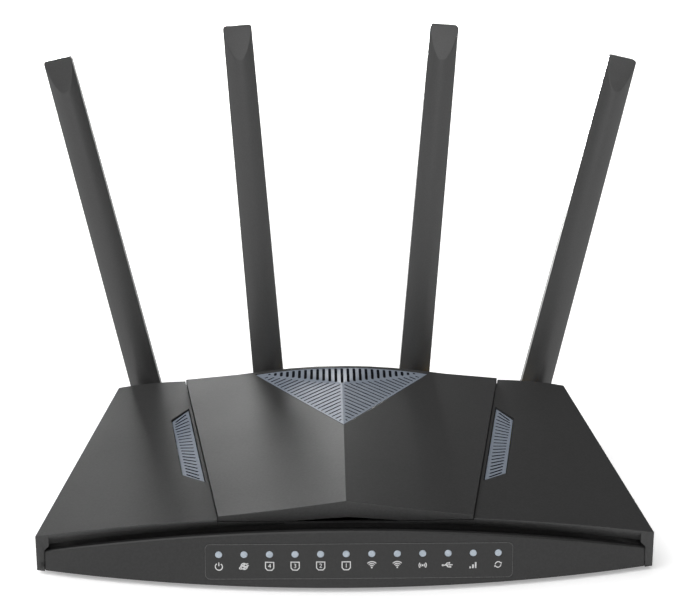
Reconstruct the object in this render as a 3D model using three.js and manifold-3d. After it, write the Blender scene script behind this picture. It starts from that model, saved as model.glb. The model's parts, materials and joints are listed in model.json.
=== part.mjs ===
// A desktop cellular Wi-Fi router with four folding antennas, as separate named pieces.
// Millimetres, +Z up, +X to the right and +Y to the back of the case.
import * as THREE from 'three';
import { mergeVertices } from 'three/addons/utils/BufferGeometryUtils.js';
import Module from 'manifold-3d';

const wasm = await Module();
wasm.setup();

// Case plan: a trapezoid with a bowed front.
const FRONT_HALF = 115;
const BACK_HALF = 98.6;
const CORNER_Y = -63;
const BACK_Y = 61.5;
const BASE_BOW = 17.5;
const TOP_BOW = 11.4;
const BASE_Z = 1.5;
const WALL = 2.2;
const GAP = 0.3;

// Top surfaces: two crowned wings and a raised, ridged centre cover between them.
const WING_FRONT = { seamX: 46.8, seamZ: 25.5, edgeZ: 15.1, crown: 1.3 };
const WING_BACK = { seamX: 69.2, seamZ: 32.9, edgeZ: 30, crown: 0.6 };
const COVER_FRONT = { seamZ: 26.8, ridgeZ: 33.4 };
const COVER_BACK = { seamZ: 33.7, ridgeZ: 40.35 };
const SEAM_GAP = 0.35;

// Vent in the centre cover: two lower facets and a fan-shaped facet behind them.
const VENT_APEX_Y = -5.1;
const VENT_JOINT_Y = 39.3;
const VENT_TIP = { x: 38, y: 59.4 };
const VENT_CROWN = 3.17;
const VENT_THICK = 2.2;
const VENT_SINK = 0.15;
const FAN_SLOTS_PER_SIDE = 13;
const FAN_PITCH = 2.65;
const FAN_SLOT_WIDTH = 1.05;
const LOWER_SLOT_SLOPE = 0.9;
const LOWER_SLOT_WIDTH = 0.75;
const SPINE_SLOTS = 11;
const VENT_BORDER = 1.1;

// Side grilles: sunk strips beside the seams, with slots that fan out.
const STRIP = { inner: 1.4, outer: 9.1, front: -36, back: 25, sink: 0.8, thick: 1.6 };
const STRIP_SLOTS = 20;
const STRIP_SLOT_WIDTH = 0.75;
const STRIP_FAN = { first: 63, turn: -175, bow: 70, backTilt: 5.3, frontTilt: 4.1 };

// Front: brow, groove and the leaning fascia with its indicator label.
const FASCIA = { half: 111.7, bottom: 1.8, topZ: 23.2, topDrop: 13.85, thick: 2.2, chamfer: 0.5 };
const FASCIA_LEAN = Math.tan(THREE.MathUtils.degToRad(6));
const GROOVE = { lipZ: 23.4, lipDrop: 11.4, dropAt: 110, depth: 6.5, floorBelowFascia: 3, browLean: 3 };
const LABEL = { left: -51.3, right: 61, top: 18.5, bottom: 5.45, radius: 1.8, thick: 0.35, recess: 0.5 };
const LED = { count: 12, pitch: 9.26, first: -46.3, z: 14.6, radius: 1.2 };
const ROW_ARC = 0.00055;

// Board and what stands on it.
const BOARD = { bottom: 9, thick: 1.6, front: -42, back: 56, noseHalf: 66, noseFront: -58 };
const BOARD_TOP = BOARD.bottom + BOARD.thick;
const JACK = { width: 16, height: 13.4, depth: 21.5, mouth: 11.8, mouthHeight: 8.2, mouthDepth: 13.5 };
const REAR_FACE = BACK_Y - GAP;
const REAR_SOCKETS = [
  { name: 'lan_jack_1', x: 68, width: JACK.width, height: JACK.height },
  { name: 'lan_jack_2', x: 50.5, width: JACK.width, height: JACK.height },
  { name: 'lan_jack_3', x: 8.75, width: JACK.width, height: JACK.height },
  { name: 'wan_jack', x: -8.75, width: JACK.width, height: JACK.height },
  { name: 'usb_port', x: -46.8, width: 14.4, height: 7 },
  { name: 'dc_jack', x: -60.5, width: 9, height: 11 },
];
const RESET = { x: -23, z: 13, radius: 0.9 };
const POWER = { x: -71.5, half: 4.2, z: 16, height: 3, travel: 2.5 };
const WPS = { y: 20, half: 4, z: 15, height: 2.2, travel: 0.8 };
const SIM = { y: 5, half: 6.6, z: 14, thick: 1, headHalf: 8, head: 1.5, travel: 24, length: 16 };
const CASE_SCREWS = [[-98, -48], [98, -48], [-91, 40], [91, 40]];
const BOARD_SCREWS = [[-78, -30], [78, -30], [-72, 30], [72, 30]];
const FEET = [[-94, -30], [94, -30], [-80, 44], [80, 44]];
const FOOT = { radius: 6, height: 1.9, recess: 0.7 };

// Antennas, measured from the fold pin.
const ANTENNA = { pinY: 74, length: 165, baseHalf: 6.8, tipHalf: 6.05, front: -3.7, back: 3.4, split: 1 };
const BLADE_CAVITY = { low: 12, high: ANTENNA.length - 17, half: 4.6, front: -2.2 };
const KNUCKLE = { ear: 6.5, tongue: 6, tongueHalf: 2.9, pin: 1.5, web: 7.2 };
const COLLAR = { radius: 7.5, outer: -8.2, shaft: 4.5, hole: 4.8, flange: 5.4 };
const ANTENNAS = [
  { name: 'antenna_outer_left', x: -84.8, z: 12.7, splay: -12.5 },
  { name: 'antenna_inner_left', x: -32.2, z: 23.2, splay: -4.1 },
  { name: 'antenna_inner_right', x: 32.2, z: 23.2, splay: 4.1 },
  { name: 'antenna_outer_right', x: 84.8, z: 12.7, splay: 12.5 },
];

// Finishes.
const plastic = (color, roughness) => new THREE.MeshStandardMaterial({ color, roughness, metalness: 0 });
const metal = (color, roughness) => new THREE.MeshStandardMaterial({ color, roughness, metalness: 1 });
const CHARCOAL = plastic(0x3c3c3d, 0.62);
const COVER_GREY = plastic(0x4a4a4b, 0.6);
const VENT_BLUE = plastic(0x7f8796, 0.5);
const FASCIA_GREY = plastic(0x353536, 0.55);
const LABEL_GREY = plastic(0x333334, 0.4);
const PIPE_CLEAR = plastic(0x9fb4d0, 0.2);
const BASE_BLACK = plastic(0x2b2b2c, 0.7);
const RUBBER = plastic(0x1c1c1c, 0.9);
const BOARD_GREEN = plastic(0x1f4a32, 0.5);
const SOCKET_BLACK = plastic(0x18181a, 0.5);
const SOCKET_YELLOW = plastic(0xc9a227, 0.5);
const BUTTON_BLACK = plastic(0x242425, 0.5);
const TIN = metal(0xb9bcc0, 0.35);
const STEEL = metal(0x8f9296, 0.4);
const ALUMINIUM = metal(0xa8abb0, 0.45);
const COPPER = plastic(0xa8662f, 0.45);
const ANTENNA_GREY = plastic(0x454546, 0.6);

const { lerp, degToRad } = THREE.MathUtils;
const root = new THREE.Group();

// ---- solids ----

function solidOf(geometry) {
  const bare = geometry.clone();
  bare.deleteAttribute('normal');
  bare.deleteAttribute('uv');
  const merged = mergeVertices(bare, 1e-4);
  const vertProperties = new Float32Array(merged.attributes.position.array);
  const triVerts = new Uint32Array(merged.index.array);
  return new wasm.Manifold(new wasm.Mesh({ numProp: 3, vertProperties, triVerts }));
}

function geometryOf(solid) {
  const mesh = solid.getMesh();
  const geometry = new THREE.BufferGeometry();
  geometry.setAttribute('position', new THREE.BufferAttribute(mesh.vertProperties, 3));
  geometry.setIndex(new THREE.BufferAttribute(mesh.triVerts, 1));
  geometry.computeVertexNormals();
  return geometry;
}

function joined(solids) {
  return solids.reduce((whole, solid) => whole.add(solid));
}

// A closed solid through rings of points; flatten turns a point into the plane of the end caps.
function loft(rings, flatten) {
  const outline = (ring) => ring.map(flatten);
  const clockwise = THREE.ShapeUtils.isClockWise(outline(rings[0]));
  const ordered = clockwise ? rings.map((ring) => [...ring].reverse()) : rings;
  const count = ordered[0].length;
  const index = [];
  for (let r = 0; r + 1 < ordered.length; r += 1) {
    for (let k = 0; k < count; k += 1) {
      const a = r * count + k;
      const b = r * count + (k + 1) % count;
      index.push(a, b, b + count, a, b + count, a + count);
    }
  }
  for (const [a, b, c] of THREE.ShapeUtils.triangulateShape(outline(ordered[0]), [])) {
    index.push(c, b, a);
  }
  const last = (ordered.length - 1) * count;
  for (const [a, b, c] of THREE.ShapeUtils.triangulateShape(outline(ordered.at(-1)), [])) {
    index.push(last + a, last + b, last + c);
  }
  const geometry = new THREE.BufferGeometry();
  geometry.setAttribute('position', new THREE.Float32BufferAttribute(ordered.flat(2), 3));
  geometry.setIndex(index);
  return solidOf(geometry);
}

const loftAlongX = (rings) => loft(rings, ([, y, z]) => new THREE.Vector2(y, z));
const loftAlongZ = (rings) => loft(rings, ([x, y]) => new THREE.Vector2(x, y));

function box(x0, x1, y0, y1, z0, z1) {
  const geometry = new THREE.BoxGeometry(x1 - x0, y1 - y0, z1 - z0);
  geometry.translate((x0 + x1) / 2, (y0 + y1) / 2, (z0 + z1) / 2);
  return solidOf(geometry);
}

function post(x, y, radius, z0, z1, sides = 20) {
  const geometry = new THREE.CylinderGeometry(radius, radius, z1 - z0, sides);
  geometry.rotateX(Math.PI / 2);
  geometry.translate(x, y, (z0 + z1) / 2);
  return solidOf(geometry);
}

function rodAlongY(x, z, radius, y0, y1, sides = 12) {
  const geometry = new THREE.CylinderGeometry(radius, radius, y1 - y0, sides);
  geometry.translate(x, (y0 + y1) / 2, z);
  return solidOf(geometry);
}

function rodAlongX(y, z, radius, x0, x1, sides = 14) {
  const geometry = new THREE.CylinderGeometry(radius, radius, x1 - x0, sides);
  geometry.rotateZ(Math.PI / 2);
  geometry.translate((x0 + x1) / 2, y, z);
  return solidOf(geometry);
}

function upright(shape, z0, z1) {
  const options = { depth: z1 - z0, bevelEnabled: false, curveSegments: 6 };
  const geometry = new THREE.ExtrudeGeometry(shape, options);
  geometry.translate(0, 0, z0);
  return solidOf(geometry);
}

function polygon(points) {
  return new THREE.Shape(points.map(([x, y]) => new THREE.Vector2(x, y)));
}

// A slot cutter: an upright bar of a given width between two plan points.
function bar(from, to, width, z0, z1) {
  const start = new THREE.Vector2(...from);
  const end = new THREE.Vector2(...to);
  const along = end.clone().sub(start);
  const geometry = new THREE.BoxGeometry(along.length(), width, z1 - z0);
  geometry.rotateZ(along.angle());
  geometry.translate((start.x + end.x) / 2, (start.y + end.y) / 2, (z0 + z1) / 2);
  return solidOf(geometry);
}

function addPart(name, solid, material, parent = root) {
  const mesh = new THREE.Mesh(geometryOf(solid), material.clone());
  mesh.name = name;
  parent.add(mesh);
}

// ---- surfaces ----

const bowRadius = (FRONT_HALF ** 2 + BASE_BOW ** 2) / (2 * BASE_BOW);
const baseFrontY = (x) => CORNER_Y - BASE_BOW + bowRadius - Math.sqrt(bowRadius ** 2 - x ** 2);
const topFrontY = (x) => CORNER_Y + (baseFrontY(x) - CORNER_Y) * (TOP_BOW / BASE_BOW);
const SEAM_FRONT_Y = CORNER_Y - TOP_BOW * 0.83;
const depthShare = (y) => (y - SEAM_FRONT_Y) / (BACK_Y - SEAM_FRONT_Y);
const seamX = (y) => lerp(WING_FRONT.seamX, WING_BACK.seamX, depthShare(y));
const sideX = (y) => lerp(FRONT_HALF, BACK_HALF, (y - CORNER_Y) / (BACK_Y - CORNER_Y));

function wingZ(x, y) {
  const share = depthShare(y);
  const inner = lerp(WING_FRONT.seamZ, WING_BACK.seamZ, share);
  const outer = lerp(WING_FRONT.edgeZ, WING_BACK.edgeZ, (y - CORNER_Y) / (BACK_Y - CORNER_Y));
  const u = (sideX(y) - Math.abs(x)) / (sideX(y) - seamX(y));
  return lerp(outer, inner, u) + lerp(WING_FRONT.crown, WING_BACK.crown, share) * 4 * u * (1 - u);
}

const coverSeamZ = (y) => lerp(COVER_FRONT.seamZ, COVER_BACK.seamZ, depthShare(y));
const ridgeZ = (y) => {
  const apexY = CORNER_Y - TOP_BOW;
  return lerp(COVER_FRONT.ridgeZ, COVER_BACK.ridgeZ, (y - apexY) / (BACK_Y - apexY));
};
const roofZ = (x, y) => lerp(ridgeZ(y), coverSeamZ(y), Math.abs(x) / seamX(y));

// The cover's height: a ridged roof whose ridge is rounded off behind the vent's joint.
function coverZ(x, y) {
  const reach = (y - VENT_JOINT_Y) / (VENT_TIP.y - VENT_JOINT_Y);
  const half = VENT_TIP.x * reach;
  if (reach <= 0 || Math.abs(x) >= half) return roofZ(x, y);
  return roofZ(half, y) + VENT_CROWN * reach * (1 - (x / half) ** 2);
}

const deckZ = (y) => coverSeamZ(y) - WALL - GAP;
const fasciaTopZ = (x) => FASCIA.topZ - FASCIA.topDrop * (x / FASCIA.half) ** 2;
const fasciaY = (x, z) => baseFrontY(x) + (z - BASE_Z) * FASCIA_LEAN;
const lipZ = (x) => GROOVE.lipZ - GROOVE.lipDrop * (x / GROOVE.dropAt) ** 2;
const browLean = (x) => GROOVE.browLean * (1 - Math.abs(x) / FRONT_HALF / 2);
const rowZ = (z, x) => z - ROW_ARC * x ** 2;
const ledX = (k) => LED.first + LED.pitch * k;

// Lines from front to back across the case, denser where the plan or the height turns.
const WING_STEPS = 6;
const COVER_STEPS = 12;
const DEPTH_STEPS = 8;

function columns(inset) {
  const lines = [];
  for (let k = 0; k <= WING_STEPS; k += 1) {
    const u = k / WING_STEPS;
    const front = lerp(FRONT_HALF - inset, WING_FRONT.seamX, u);
    const back = lerp(BACK_HALF - inset, WING_BACK.seamX, u);
    lines.push({ front: -front, back: -back, top: wingZ });
  }
  for (let k = 0; k <= COVER_STEPS; k += 1) {
    const c = (2 * k) / COVER_STEPS - 1;
    const front = c * (WING_FRONT.seamX - 0.05);
    lines.push({ front, back: c * (WING_BACK.seamX - 0.05), top: (x, y) => deckZ(y) });
  }
  const mirrored = lines.slice(0, WING_STEPS + 1).reverse();
  lines.push(...mirrored.map(({ front, back, top }) => ({ front: -front, back: -back, top })));
  return lines;
}

// One closed line around the case at a column, from the foot of the front to the foot of the back.
function caseRing(column, { frontLine, rear, floor, drop }) {
  const start = topFrontY(column.front);
  const xAt = (y) => lerp(column.front, column.back, (y - start) / (BACK_Y - start));
  const ring = frontLine(column.front).map(([y, z]) => [xAt(y), y, z]);
  const firstY = ring.at(-1)[1];
  for (let k = 0; k <= DEPTH_STEPS; k += 1) {
    const y = lerp(firstY, rear, k / DEPTH_STEPS);
    ring.push([xAt(y), y, column.top(xAt(y), y) - drop]);
  }
  ring.push([xAt(rear), rear, floor]);
  return ring;
}

function caseBlock(inset, options) {
  return loftAlongX(columns(inset).map((column) => caseRing(column, options)));
}

// ---- case ----

function outerCase() {
  const frontLine = (x) => [[baseFrontY(x), BASE_Z], [topFrontY(x) - 0.01, BASE_Z + 4]];
  return caseBlock(0, { frontLine, rear: BACK_Y, floor: BASE_Z, drop: 0 });
}

function caseCavity() {
  const skin = FASCIA.thick + 0.2 + WALL;
  const frontLine = (x) => {
    const shoulder = fasciaTopZ(x) - GROOVE.floorBelowFascia - WALL;
    const behindGroove = topFrontY(x) + GROOVE.depth + WALL;
    return [
      [baseFrontY(x) + skin, BASE_Z - 2],
      [fasciaY(x, shoulder) + skin, shoulder],
      [behindGroove, shoulder],
    ];
  };
  return caseBlock(WALL, { frontLine, rear: BACK_Y - WALL, floor: BASE_Z - 2, drop: WALL });
}

// A cutter across the front, mirrored about the middle, through rings given for each station.
function acrossFront(ring) {
  const stations = [112, 100, 86, 72, 58, WING_FRONT.seamX + 0.1, WING_FRONT.seamX - 0.1, 35, 23, 12, 0];
  const left = stations.map((x) => ring(-x));
  const right = stations.slice(0, -1).reverse().map(ring);
  return loftAlongX([...left, ...right]);
}

// The pocket of the fascia, then the groove and the undercut brow above it.
function frontCutter() {
  const far = CORNER_Y - 40;
  const clear = FASCIA.thick + 0.2;
  const back = (x) => topFrontY(x) + GROOVE.depth;
  const square = (x) => fasciaTopZ(x) + GAP;
  const pocket = acrossFront((x) => {
    const floor = fasciaTopZ(x) - GROOVE.floorBelowFascia;
    return [
      [x, far, 0],
      [x, fasciaY(x, 0) + clear, 0],
      [x, fasciaY(x, floor) + clear, floor],
      [x, back(x), floor],
      [x, back(x), square(x)],
      [x, far, square(x)],
    ];
  });
  const groove = acrossFront((x) => {
    const edge = Math.abs(x) < WING_FRONT.seamX ? roofZ(x, topFrontY(x)) : wingZ(x, topFrontY(x));
    const end = Math.abs(x) > FASCIA.half ? x - 2 * Math.sign(x) : x;
    return [
      [x, far, square(x) - 0.1],
      [x, back(x), square(x) - 0.1],
      [end, back(x), lipZ(x)],
      [end, topFrontY(x) + browLean(x), lipZ(x)],
      [end, topFrontY(x) - 0.02, edge - 0.5],
      [end, far, edge - 0.5],
    ];
  });
  return pocket.add(groove);
}

// Plan outline of a side grille, grown by a margin; side is -1 for left, 1 for right.
function stripShape(side, margin) {
  const at = (offset, y) => [side * (seamX(y) + offset), y];
  const inner = STRIP.inner - margin;
  const outer = STRIP.outer + margin;
  return polygon([
    at(inner, STRIP.back + STRIP_FAN.backTilt + 2 * margin),
    at(outer, STRIP.back - STRIP_FAN.backTilt + 2 * margin),
    at(outer, STRIP.front + STRIP_FAN.frontTilt - 2 * margin),
    at(inner, STRIP.front - STRIP_FAN.frontTilt - 2 * margin),
  ]);
}

function wingSlab(side, from, to) {
  const lines = columns(0).filter(({ front, top }) => top === wingZ && front * side > 0);
  const rings = lines.map((column) => {
    const start = topFrontY(column.front);
    const stations = Array.from({ length: DEPTH_STEPS + 1 }, (_, k) => k / DEPTH_STEPS);
    const point = (t, drop) => {
      const x = lerp(column.front, column.back, t);
      const y = lerp(start, BACK_Y, t);
      return [x, y, wingZ(x, y) - drop];
    };
    return [...stations.map((t) => point(t, from)), ...stations.reverse().map((t) => point(t, to))];
  });
  return loftAlongX(rings);
}

// A frame on a side wall: +X points out through the wall at a given Y.
function wallFrame(side, y) {
  const slant = Math.atan2(FRONT_HALF - BACK_HALF, BACK_Y - CORNER_Y);
  const turn = side > 0 ? slant : Math.PI - slant;
  const frame = new THREE.Group();
  frame.position.set(side * sideX(y), y, 0);
  frame.rotation.z = turn;
  frame.updateMatrix();
  return frame;
}

function throughWall(frame, y0, y1, z0, z1) {
  const geometry = new THREE.BoxGeometry(WALL * 4, y1 - y0, z1 - z0);
  geometry.translate(0, (y0 + y1) / 2, (z0 + z1) / 2);
  geometry.applyMatrix4(frame.matrix);
  return solidOf(geometry);
}

const simFrame = wallFrame(1, SIM.y);
const wpsFrame = wallFrame(-1, WPS.y);

function topShell() {
  let shell = outerCase().subtract(caseCavity());
  const ledge = 4.5;
  const opening = [[-1, -52], [1, -52], [1, BACK_Y - 6], [-1, BACK_Y - 6]];
  const openingShape = polygon(opening.map(([s, y]) => [s * (seamX(y) - ledge), y]));
  shell = shell.subtract(upright(openingShape, 15, 45));
  for (const [x, y] of CASE_SCREWS) {
    const boss = post(x, y, 3.6, BASE_Z + 2.9, wingZ(x, y) - 1);
    shell = shell.add(boss).subtract(post(x, y, 1.6, BASE_Z, BASE_Z + 11));
  }
  shell = shell.subtract(frontCutter());
  for (const side of [-1, 1]) {
    const sunk = wingSlab(side, -2, STRIP.sink + STRIP.thick);
    const recess = upright(stripShape(side, 0.35), 0, 60).intersect(sunk);
    shell = shell.subtract(recess);
    const vent = upright(stripShape(side, -1.2), 0, 60).subtract(caseRim());
    shell = shell.subtract(vent);
  }
  for (const { x, width, height } of REAR_SOCKETS) {
    const half = width / 2 + GAP;
    const top = BOARD_TOP + 2 * GAP + height;
    shell = shell.subtract(box(x - half, x + half, BACK_Y - 4, BACK_Y + 2, BOARD_TOP, top));
  }
  const power = [POWER.x - POWER.half - GAP, POWER.x + POWER.half + GAP];
  const powerHalf = POWER.height + GAP;
  shell = shell.subtract(box(...power, BACK_Y - 4, BACK_Y + 2, POWER.z - powerHalf, POWER.z + powerHalf));
  shell = shell.subtract(rodAlongY(RESET.x, RESET.z, RESET.radius, BACK_Y - 4, BACK_Y + 2));
  for (const { x, z } of ANTENNAS) {
    shell = shell.subtract(rodAlongY(x, z, COLLAR.hole, BACK_Y - 4, BACK_Y + 2, 18));
  }
  const simHalf = SIM.headHalf + GAP;
  const simHead = SIM.head + GAP;
  shell = shell.subtract(throughWall(simFrame, -simHalf, simHalf, SIM.z - simHead, SIM.z + simHead));
  const wpsHalf = WPS.half + GAP;
  const wpsHead = WPS.height + GAP;
  shell = shell.subtract(throughWall(wpsFrame, -wpsHalf, wpsHalf, WPS.z - wpsHead, WPS.z + wpsHead));
  for (let k = 0; k < LED.count; k += 1) {
    const x = ledX(k);
    shell = shell.subtract(rodAlongY(x, rowZ(LED.z, x), LED.radius + 0.5, -90, -60, 12));
  }
  return shell;
}

// The low part of the case, used to keep the vent openings out of the front and rear walls.
function caseRim() {
  return box(-130, 130, -100, 100, -5, 10);
}

function bottomCase() {
  const margin = WALL + GAP;
  const clear = FASCIA.thick + WALL + 4 * GAP;
  const shoulder = GROOVE.floorBelowFascia + WALL + 2 * GAP;
  const slab = (inset, z0, z1, frontTop) => {
    const rings = columns(margin + inset).map(({ front, back }) => {
      const start = topFrontY(front);
      const xAt = (y) => lerp(front, back, (y - start) / (BACK_Y - start));
      const y0 = baseFrontY(front) + clear + inset;
      const y1 = BACK_Y - margin - inset;
      return [[xAt(y0), y0, z0], [xAt(y0), y0, frontTop(front)], [xAt(y1), y1, z1], [xAt(y1), y1, z0]];
    });
    return loftAlongX(rings);
  };
  const floorTop = BASE_Z + WALL;
  const rimTop = BASE_Z + 5.5;
  const rim = slab(0, BASE_Z, rimTop, (x) => Math.min(rimTop, fasciaTopZ(x) - shoulder));
  let tray = rim.subtract(slab(1.8, floorTop, rimTop + 3, () => rimTop + 3));
  for (const [x, y] of BOARD_SCREWS) {
    tray = tray.add(post(x, y, 3.2, floorTop - 0.5, BOARD.bottom - GAP));
    tray = tray.subtract(post(x, y, 1.3, floorTop + 0.5, BOARD.bottom + 1));
  }
  for (const [x, y] of CASE_SCREWS) {
    tray = tray.subtract(post(x, y, 3.3, BASE_Z - 1, BASE_Z + 1.3));
    tray = tray.subtract(post(x, y, 1.7, BASE_Z, floorTop + 6));
    tray = tray.subtract(post(x, y, 3.9, floorTop, floorTop + 6));
  }
  for (const [x, y] of FEET) {
    tray = tray.subtract(post(x, y, FOOT.radius + GAP, BASE_Z - 1, BASE_Z + FOOT.recess, 24));
  }
  const vents = [];
  for (let k = -7.5; k <= 7.5; k += 1) {
    for (const y of [-22, 16]) vents.push(bar([k * 7, y - 13], [k * 7, y + 13], 2, 0, floorTop + 0.2));
  }
  return tray.subtract(joined(vents));
}

function centreCover() {
  const inside = (inset, drop, low) => {
    const rings = [];
    for (let k = 0; k <= COVER_STEPS; k += 1) {
      const c = (2 * k) / COVER_STEPS - 1;
      const start = topFrontY(c * WING_FRONT.seamX);
      const y0 = start + inset;
      const y1 = BACK_Y - inset;
      const xAt = (y) => c * (seamX(y) - SEAM_GAP - inset);
      const base = deckZ(y0) + GAP - low;
      const edge = coverZ(xAt(y0), y0) - drop;
      const lean = (browLean(xAt(y0)) * (edge - base)) / (edge - lipZ(xAt(y0)));
      const ring = [[xAt(y0 + lean), y0 + (inset ? 0 : lean), base]];
      for (let j = 0; j <= DEPTH_STEPS; j += 1) {
        const y = lerp(y0, y1, j / DEPTH_STEPS);
        ring.push([xAt(y), y, coverZ(xAt(y), y) - drop]);
      }
      ring.push([xAt(y1), y1, deckZ(y1) + GAP - low]);
      rings.push(ring);
    }
    return loftAlongX(rings);
  };
  const shell = inside(0, 0, 0).subtract(inside(WALL, WALL, 3));
  return shell.subtract(upright(ventShape(0), 0, 60));
}

// Plan outline of the centre vent, drawn in by a margin.
function ventShape(margin) {
  const side = VENT_TIP.x - margin * 1.6;
  const back = VENT_TIP.y - margin;
  const corners = [[side, back - 0.4], [side, back], [-side, back], [-side, back - 0.4]];
  return polygon([[0, VENT_APEX_Y + margin * 2], ...corners]);
}

function ventSlots() {
  const slots = [];
  const low = 20;
  const high = 60;
  const creaseSlope = (VENT_TIP.y - VENT_JOINT_Y) / VENT_TIP.x;
  const borderSlope = (VENT_TIP.y - VENT_APEX_Y) / VENT_TIP.x;
  const tight = VENT_BORDER * 0.75;
  for (let k = -FAN_SLOTS_PER_SIDE; k <= FAN_SLOTS_PER_SIDE; k += 1) {
    const x = k * FAN_PITCH;
    const y0 = VENT_JOINT_Y + creaseSlope * Math.abs(x) + VENT_BORDER;
    const y1 = VENT_TIP.y - VENT_BORDER;
    if (y1 - y0 > 0.6) slots.push(bar([x, y0], [x, y1], FAN_SLOT_WIDTH, low, high));
  }
  const step = FAN_PITCH * (creaseSlope + LOWER_SLOT_SLOPE);
  for (let n = 1 - SPINE_SLOTS; n <= FAN_SLOTS_PER_SIDE; n += 1) {
    const onSpine = VENT_JOINT_Y + n * step;
    const x0 = n > 0 ? n * FAN_PITCH - tight * 0.4 : tight;
    const x1 = (onSpine - VENT_APEX_Y) / (LOWER_SLOT_SLOPE + borderSlope) - tight;
    if (x1 - x0 < 0.5) continue;
    for (const side of [-1, 1]) {
      const inner = x0 + (n > 0 ? tight : 0);
      const from = [side * inner, onSpine - LOWER_SLOT_SLOPE * inner];
      if (x1 - Math.abs(from[0]) < 0.5) continue;
      slots.push(bar(from, [side * x1, onSpine - LOWER_SLOT_SLOPE * x1], LOWER_SLOT_WIDTH, low, high));
    }
  }
  return joined(slots);
}

function centreVent() {
  const rings = [];
  const steps = 12;
  for (let k = 0; k <= steps; k += 1) {
    const x = lerp(-VENT_TIP.x - 1, VENT_TIP.x + 1, k / steps);
    const ys = Array.from({ length: 7 }, (_, j) => lerp(VENT_APEX_Y - 2, VENT_TIP.y + 1, j / 6));
    const top = ys.map((y) => [x, y, coverZ(x, y) - VENT_SINK]);
    const bottom = ys.reverse().map((y) => [x, y, coverZ(x, y) - VENT_SINK - VENT_THICK]);
    rings.push([...top, ...bottom]);
  }
  return loftAlongX(rings).intersect(upright(ventShape(GAP), 0, 60)).subtract(ventSlots());
}

function sideGrille(side) {
  const slab = wingSlab(side, STRIP.sink, STRIP.sink + STRIP.thick - GAP);
  const plate = upright(stripShape(side, 0), 0, 60).intersect(slab);
  const slots = [];
  for (let k = 0; k < STRIP_SLOTS; k += 1) {
    const t = k / (STRIP_SLOTS - 1);
    const angle = degToRad(STRIP_FAN.first + STRIP_FAN.turn * t + STRIP_FAN.bow * t * t);
    const y = lerp(STRIP.back - 2.2, STRIP.front + 2.6, t);
    const x = seamX(y) + (STRIP.inner + STRIP.outer) / 2;
    const room = (STRIP.outer - STRIP.inner) / 2 - VENT_BORDER;
    const reach = Math.min(room, 3.2 * Math.cos(angle) + 0.4) / Math.cos(angle);
    const dx = -Math.cos(angle) * reach;
    const dy = Math.sin(angle) * reach;
    slots.push(bar([side * (x + dx), y + dy], [side * (x - dx), y - dy], STRIP_SLOT_WIDTH, 10, 60));
  }
  return plate.subtract(joined(slots));
}

// ---- front ----

function fasciaSlab(from, to, bottom, topCut, half, shift = 0.01) {
  const steps = 24;
  const rings = [];
  for (let k = 0; k <= steps; k += 1) {
    const x = lerp(-half, half, k / steps);
    const top = fasciaTopZ(x) - topCut;
    rings.push([
      [x, fasciaY(x, bottom) + from, bottom],
      [x, fasciaY(x, top - shift) + from, top - shift],
      [x, fasciaY(x, top) + from + shift, top],
      [x, fasciaY(x, top) + to, top],
      [x, fasciaY(x, bottom) + to, bottom],
    ]);
  }
  return loftAlongX(rings);
}

// A rounded rectangle that follows the arc of the indicator row, as a rod along Y.
function labelPrism(margin) {
  const shape = new THREE.Shape();
  const radius = LABEL.radius + margin;
  const left = LABEL.left - margin;
  const right = LABEL.right + margin;
  const top = LABEL.top + margin;
  const bottom = LABEL.bottom - margin;
  const steps = 14;
  shape.moveTo(left + radius, rowZ(bottom, left + radius));
  for (let k = 1; k <= steps; k += 1) {
    const x = lerp(left + radius, right - radius, k / steps);
    shape.lineTo(x, rowZ(bottom, x));
  }
  shape.quadraticCurveTo(right, rowZ(bottom, right), right, rowZ(bottom + radius, right));
  shape.lineTo(right, rowZ(top - radius, right));
  shape.quadraticCurveTo(right, rowZ(top, right), right - radius, rowZ(top, right - radius));
  for (let k = 1; k <= steps; k += 1) {
    const x = lerp(right - radius, left + radius, k / steps);
    shape.lineTo(x, rowZ(top, x));
  }
  shape.quadraticCurveTo(left, rowZ(top, left), left, rowZ(top - radius, left));
  shape.lineTo(left, rowZ(bottom + radius, left));
  shape.quadraticCurveTo(left, rowZ(bottom, left), left + radius, rowZ(bottom, left + radius));
  const geometry = new THREE.ExtrudeGeometry(shape, { depth: 30, bevelEnabled: false, curveSegments: 4 });
  geometry.rotateX(Math.PI / 2);
  geometry.translate(0, -65, 0);
  return solidOf(geometry);
}

function ledHoles(radius) {
  const holes = [];
  for (let k = 0; k < LED.count; k += 1) {
    holes.push(rodAlongY(ledX(k), rowZ(LED.z, ledX(k)), radius, -92, -60));
  }
  return joined(holes);
}

function frontFascia() {
  const recess = labelPrism(0.15).intersect(fasciaSlab(-2, LABEL.recess, 0, -2, 80));
  const plate = fasciaSlab(0, FASCIA.thick, FASCIA.bottom, 0, FASCIA.half, FASCIA.chamfer);
  return plate.subtract(recess).subtract(ledHoles(LED.radius + 0.15));
}

function indicatorLabel() {
  const film = labelPrism(0).intersect(fasciaSlab(0.02, 0.02 + LABEL.thick, 0, -2, 80));
  return film.subtract(ledHoles(LED.radius + 0.15));
}

function lightPipes() {
  const y0 = BOARD.noseFront - 4.2;
  const y1 = BOARD.noseFront - 0.5;
  const rings = [];
  for (let k = 0; k <= LED.count; k += 1) {
    const x = LED.first + LED.pitch * (k - 0.5);
    const z = rowZ(LED.z, x);
    rings.push([[x, y0, z - 1.7], [x, y1, z - 1.7], [x, y1, z + 1.7], [x, y0, z + 1.7]]);
  }
  const pipes = ledHoles(LED.radius).intersect(fasciaSlab(0.1, 20, 0, -2, 80));
  return loftAlongX(rings).add(pipes);
}

// ---- electronics ----

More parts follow.
